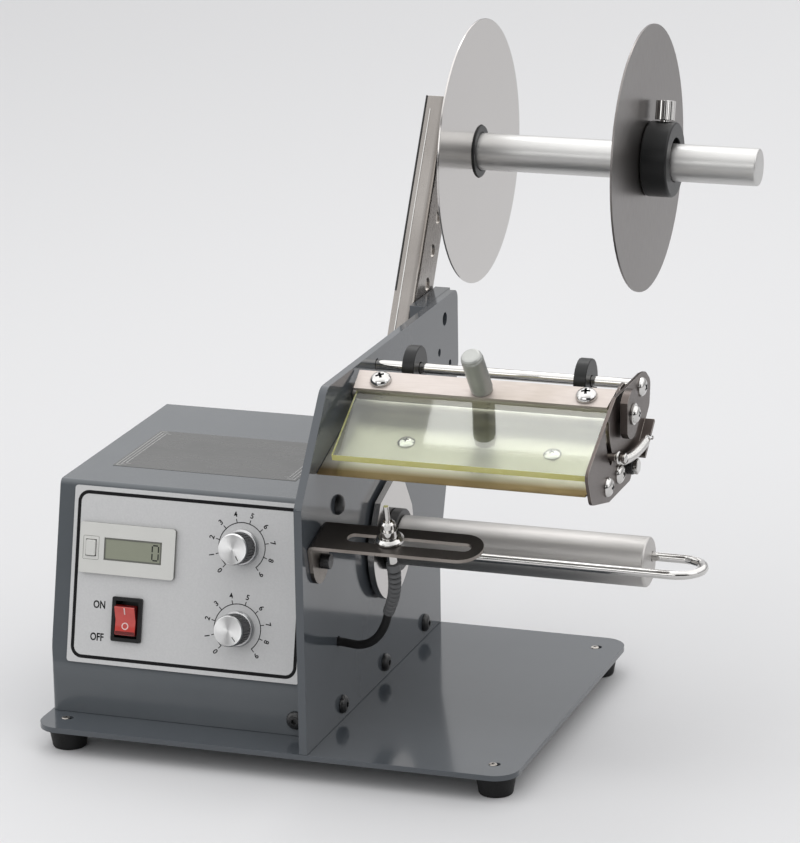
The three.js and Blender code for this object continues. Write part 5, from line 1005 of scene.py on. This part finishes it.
knurled_aluminium = finish("knurled_aluminium", (0.50, 0.51, 0.49), (0.34, 0.345, 0.33), patches=60, stretch=1200,
    depth=0.04, roughness=(0.36, 0.46), metallic=0.6)
shaded(grip, knurled_aluminium, 12)
forward_lean, side_lean = math.radians(8), math.radians(4)
grip_foot = at(67.3, 69.8, 159.85)
grip_aim = (-math.sin(side_lean), -math.sin(cover_slope + forward_lean) * math.cos(side_lean),
    math.cos(cover_slope + forward_lean) * math.cos(side_lean))
set_down(grip, grip_foot, grip_aim)
alone(grip)
bpy.ops.object.mode_set(mode="EDIT")
bpy.ops.mesh.select_all(action="SELECT")
bpy.ops.mesh.bisect(plane_co=grip_foot + cover_normal * 0.00005, plane_no=cover_normal, use_fill=True,
    clear_inner=True)
bpy.ops.object.mode_set(mode="OBJECT")
grip_stud = shaded(drawn_up("grip_stud", 24, [(1.9, -8.3), (1.9, 0.6)]), satin_aluminium)
handle = joined("lift_handle_finished", [grip, set_down(grip_stud, grip_foot, cover_normal)])
fitted(handle, "cover", ("lift_handle",))

# Closing spring: a close-wound extension spring of bright wire, hooked over the arm's pin at one end
# and into the eye in the end plate's ear at the other.
spring_x, pin_hook, hook_steps = 136.5, 2.5, 8
spring_route = smooth_route([Vector(point) for point in ((62.5, 134.4, 0), (72, 132.9, 0), (81, 132.1, 0),
    (90, 132, 0), (98.5, 132.6, 0))], 24)
spring_turns, turn_steps, coil_radius, wire_radius, hook_wire = 42.5, 14, 1.95, 0.42, 0.6
spring_points = []
for step in range(hook_steps + 1):
    angle = math.pi * (0.4 + 1.2 * step / hook_steps)
    spring_points.append(at(spring_x, pin_y + pin_hook * math.cos(angle), pin_z + pin_hook * math.sin(angle)))
steps = int(spring_turns * turn_steps)
for step in range(steps + 1):
    share = step / steps * (len(spring_route) - 1)
    index = min(int(share), len(spring_route) - 2)
    centre = spring_route[index].lerp(spring_route[index + 1], share - index)
    along = (spring_route[index + 1] - spring_route[index]).normalized()
    up = Vector((-along.y, along.x, 0))
    angle = 2 * math.pi * step / turn_steps - math.pi / 2
    radial = centre + up * coil_radius * math.sin(angle)
    spring_points.append(at(spring_x + coil_radius * math.cos(angle), radial.x, radial.y))
ear_slope, ear_y, ear_z, ear_hook, ear_thickness = math.atan2(27.2, 33.2), 104.6, 133.4, 1.7, 2.1
for along_share, out_share in ((1, 0), (-0.6, 0), (-1, 0.3), (-0.9, 0.8), (-0.3, 1), (0.4, 1)):
    reach = ear_hook * along_share
    spring_points.append(at(spring_x + ear_thickness * out_share, ear_y - math.sin(ear_slope) * reach,
        ear_z + math.cos(ear_slope) * reach))
spring_radii = [(hook_wire if index <= hook_steps else wire_radius) / 1000 for index in range(len(spring_points))]
spring = tube("closing_spring", spring_points, spring_radii, 8)
shaded(spring, bright_chrome, 60)
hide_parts("cover_spring")
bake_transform(spring)

# Label sensor: a stepped plated body in the bracket's slot, held by a nut, with a thin probe, a
# grooved grey strain relief below, its grooves painted black as shade, and its lead.
bracket_steel = finish("bracket_steel", (0.095, 0.086, 0.08), (0.068, 0.060, 0.055), patches=40, amount=0.7,
    stretch=(1500, 500, 1500), depth=0.2, roughness=(0.3, 0.42), metallic=0.9)
# The bracket's upright sides are painted lighter steel: painted reflection.
bracket_side_sheen = finish("bracket_side_sheen", (0.33, 0.30, 0.275), (0.20, 0.175, 0.155), patches=60, amount=0.8,
    stretch=(1500, 500, 1500), depth=0.1, roughness=(0.32, 0.45), metallic=0.95)
bracket = eased("sensor_bracket", bracket_steel, edge=0.4, edge_wear_and_shade=edge_steel)
faced(bracket, bracket_side_sheen, lambda face: abs(face.normal.z) < 0.3)
eased("bracket_bolt", black_steel)
eased("sensor", bright_chrome, edge=0.15)
eased("sensor_nut", bright_chrome, edge=0.2)
relief_route = smooth_route([at(*point) for point in ((40.5, 18.9, 90.2), (40.5, 20.5, 84.5), (39.8, 22.8, 78.5),
    (38.3, 25.6, 72.8), (36.1, 28.5, 67.3), (33.6, 31.4, 62.2))], 18)
relief_sides, groove_depth = 24, 0.8
grooved = [index % 8 in (4, 5, 6) and 6 < index < len(relief_route) - 6 for index in range(len(relief_route))]
relief_radii = [(3.2 - 0.5 * index / len(relief_route) - groove_depth * is_groove) / 1000
    for index, is_groove in enumerate(grooved)]
relief = tube("lead_relief", relief_route, relief_radii, relief_sides)
shaded(relief, grey_rubber)
# The grooves' faces are painted black rubber: painted shade.
relief.data.materials.append(black_rubber)
for index, face in enumerate(relief.data.polygons):
    ring = index // relief_sides
    if ring < len(grooved) - 1 and grooved[ring] and grooved[ring + 1]:
        face.material_index = 1
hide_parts("strain_relief")
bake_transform(relief)
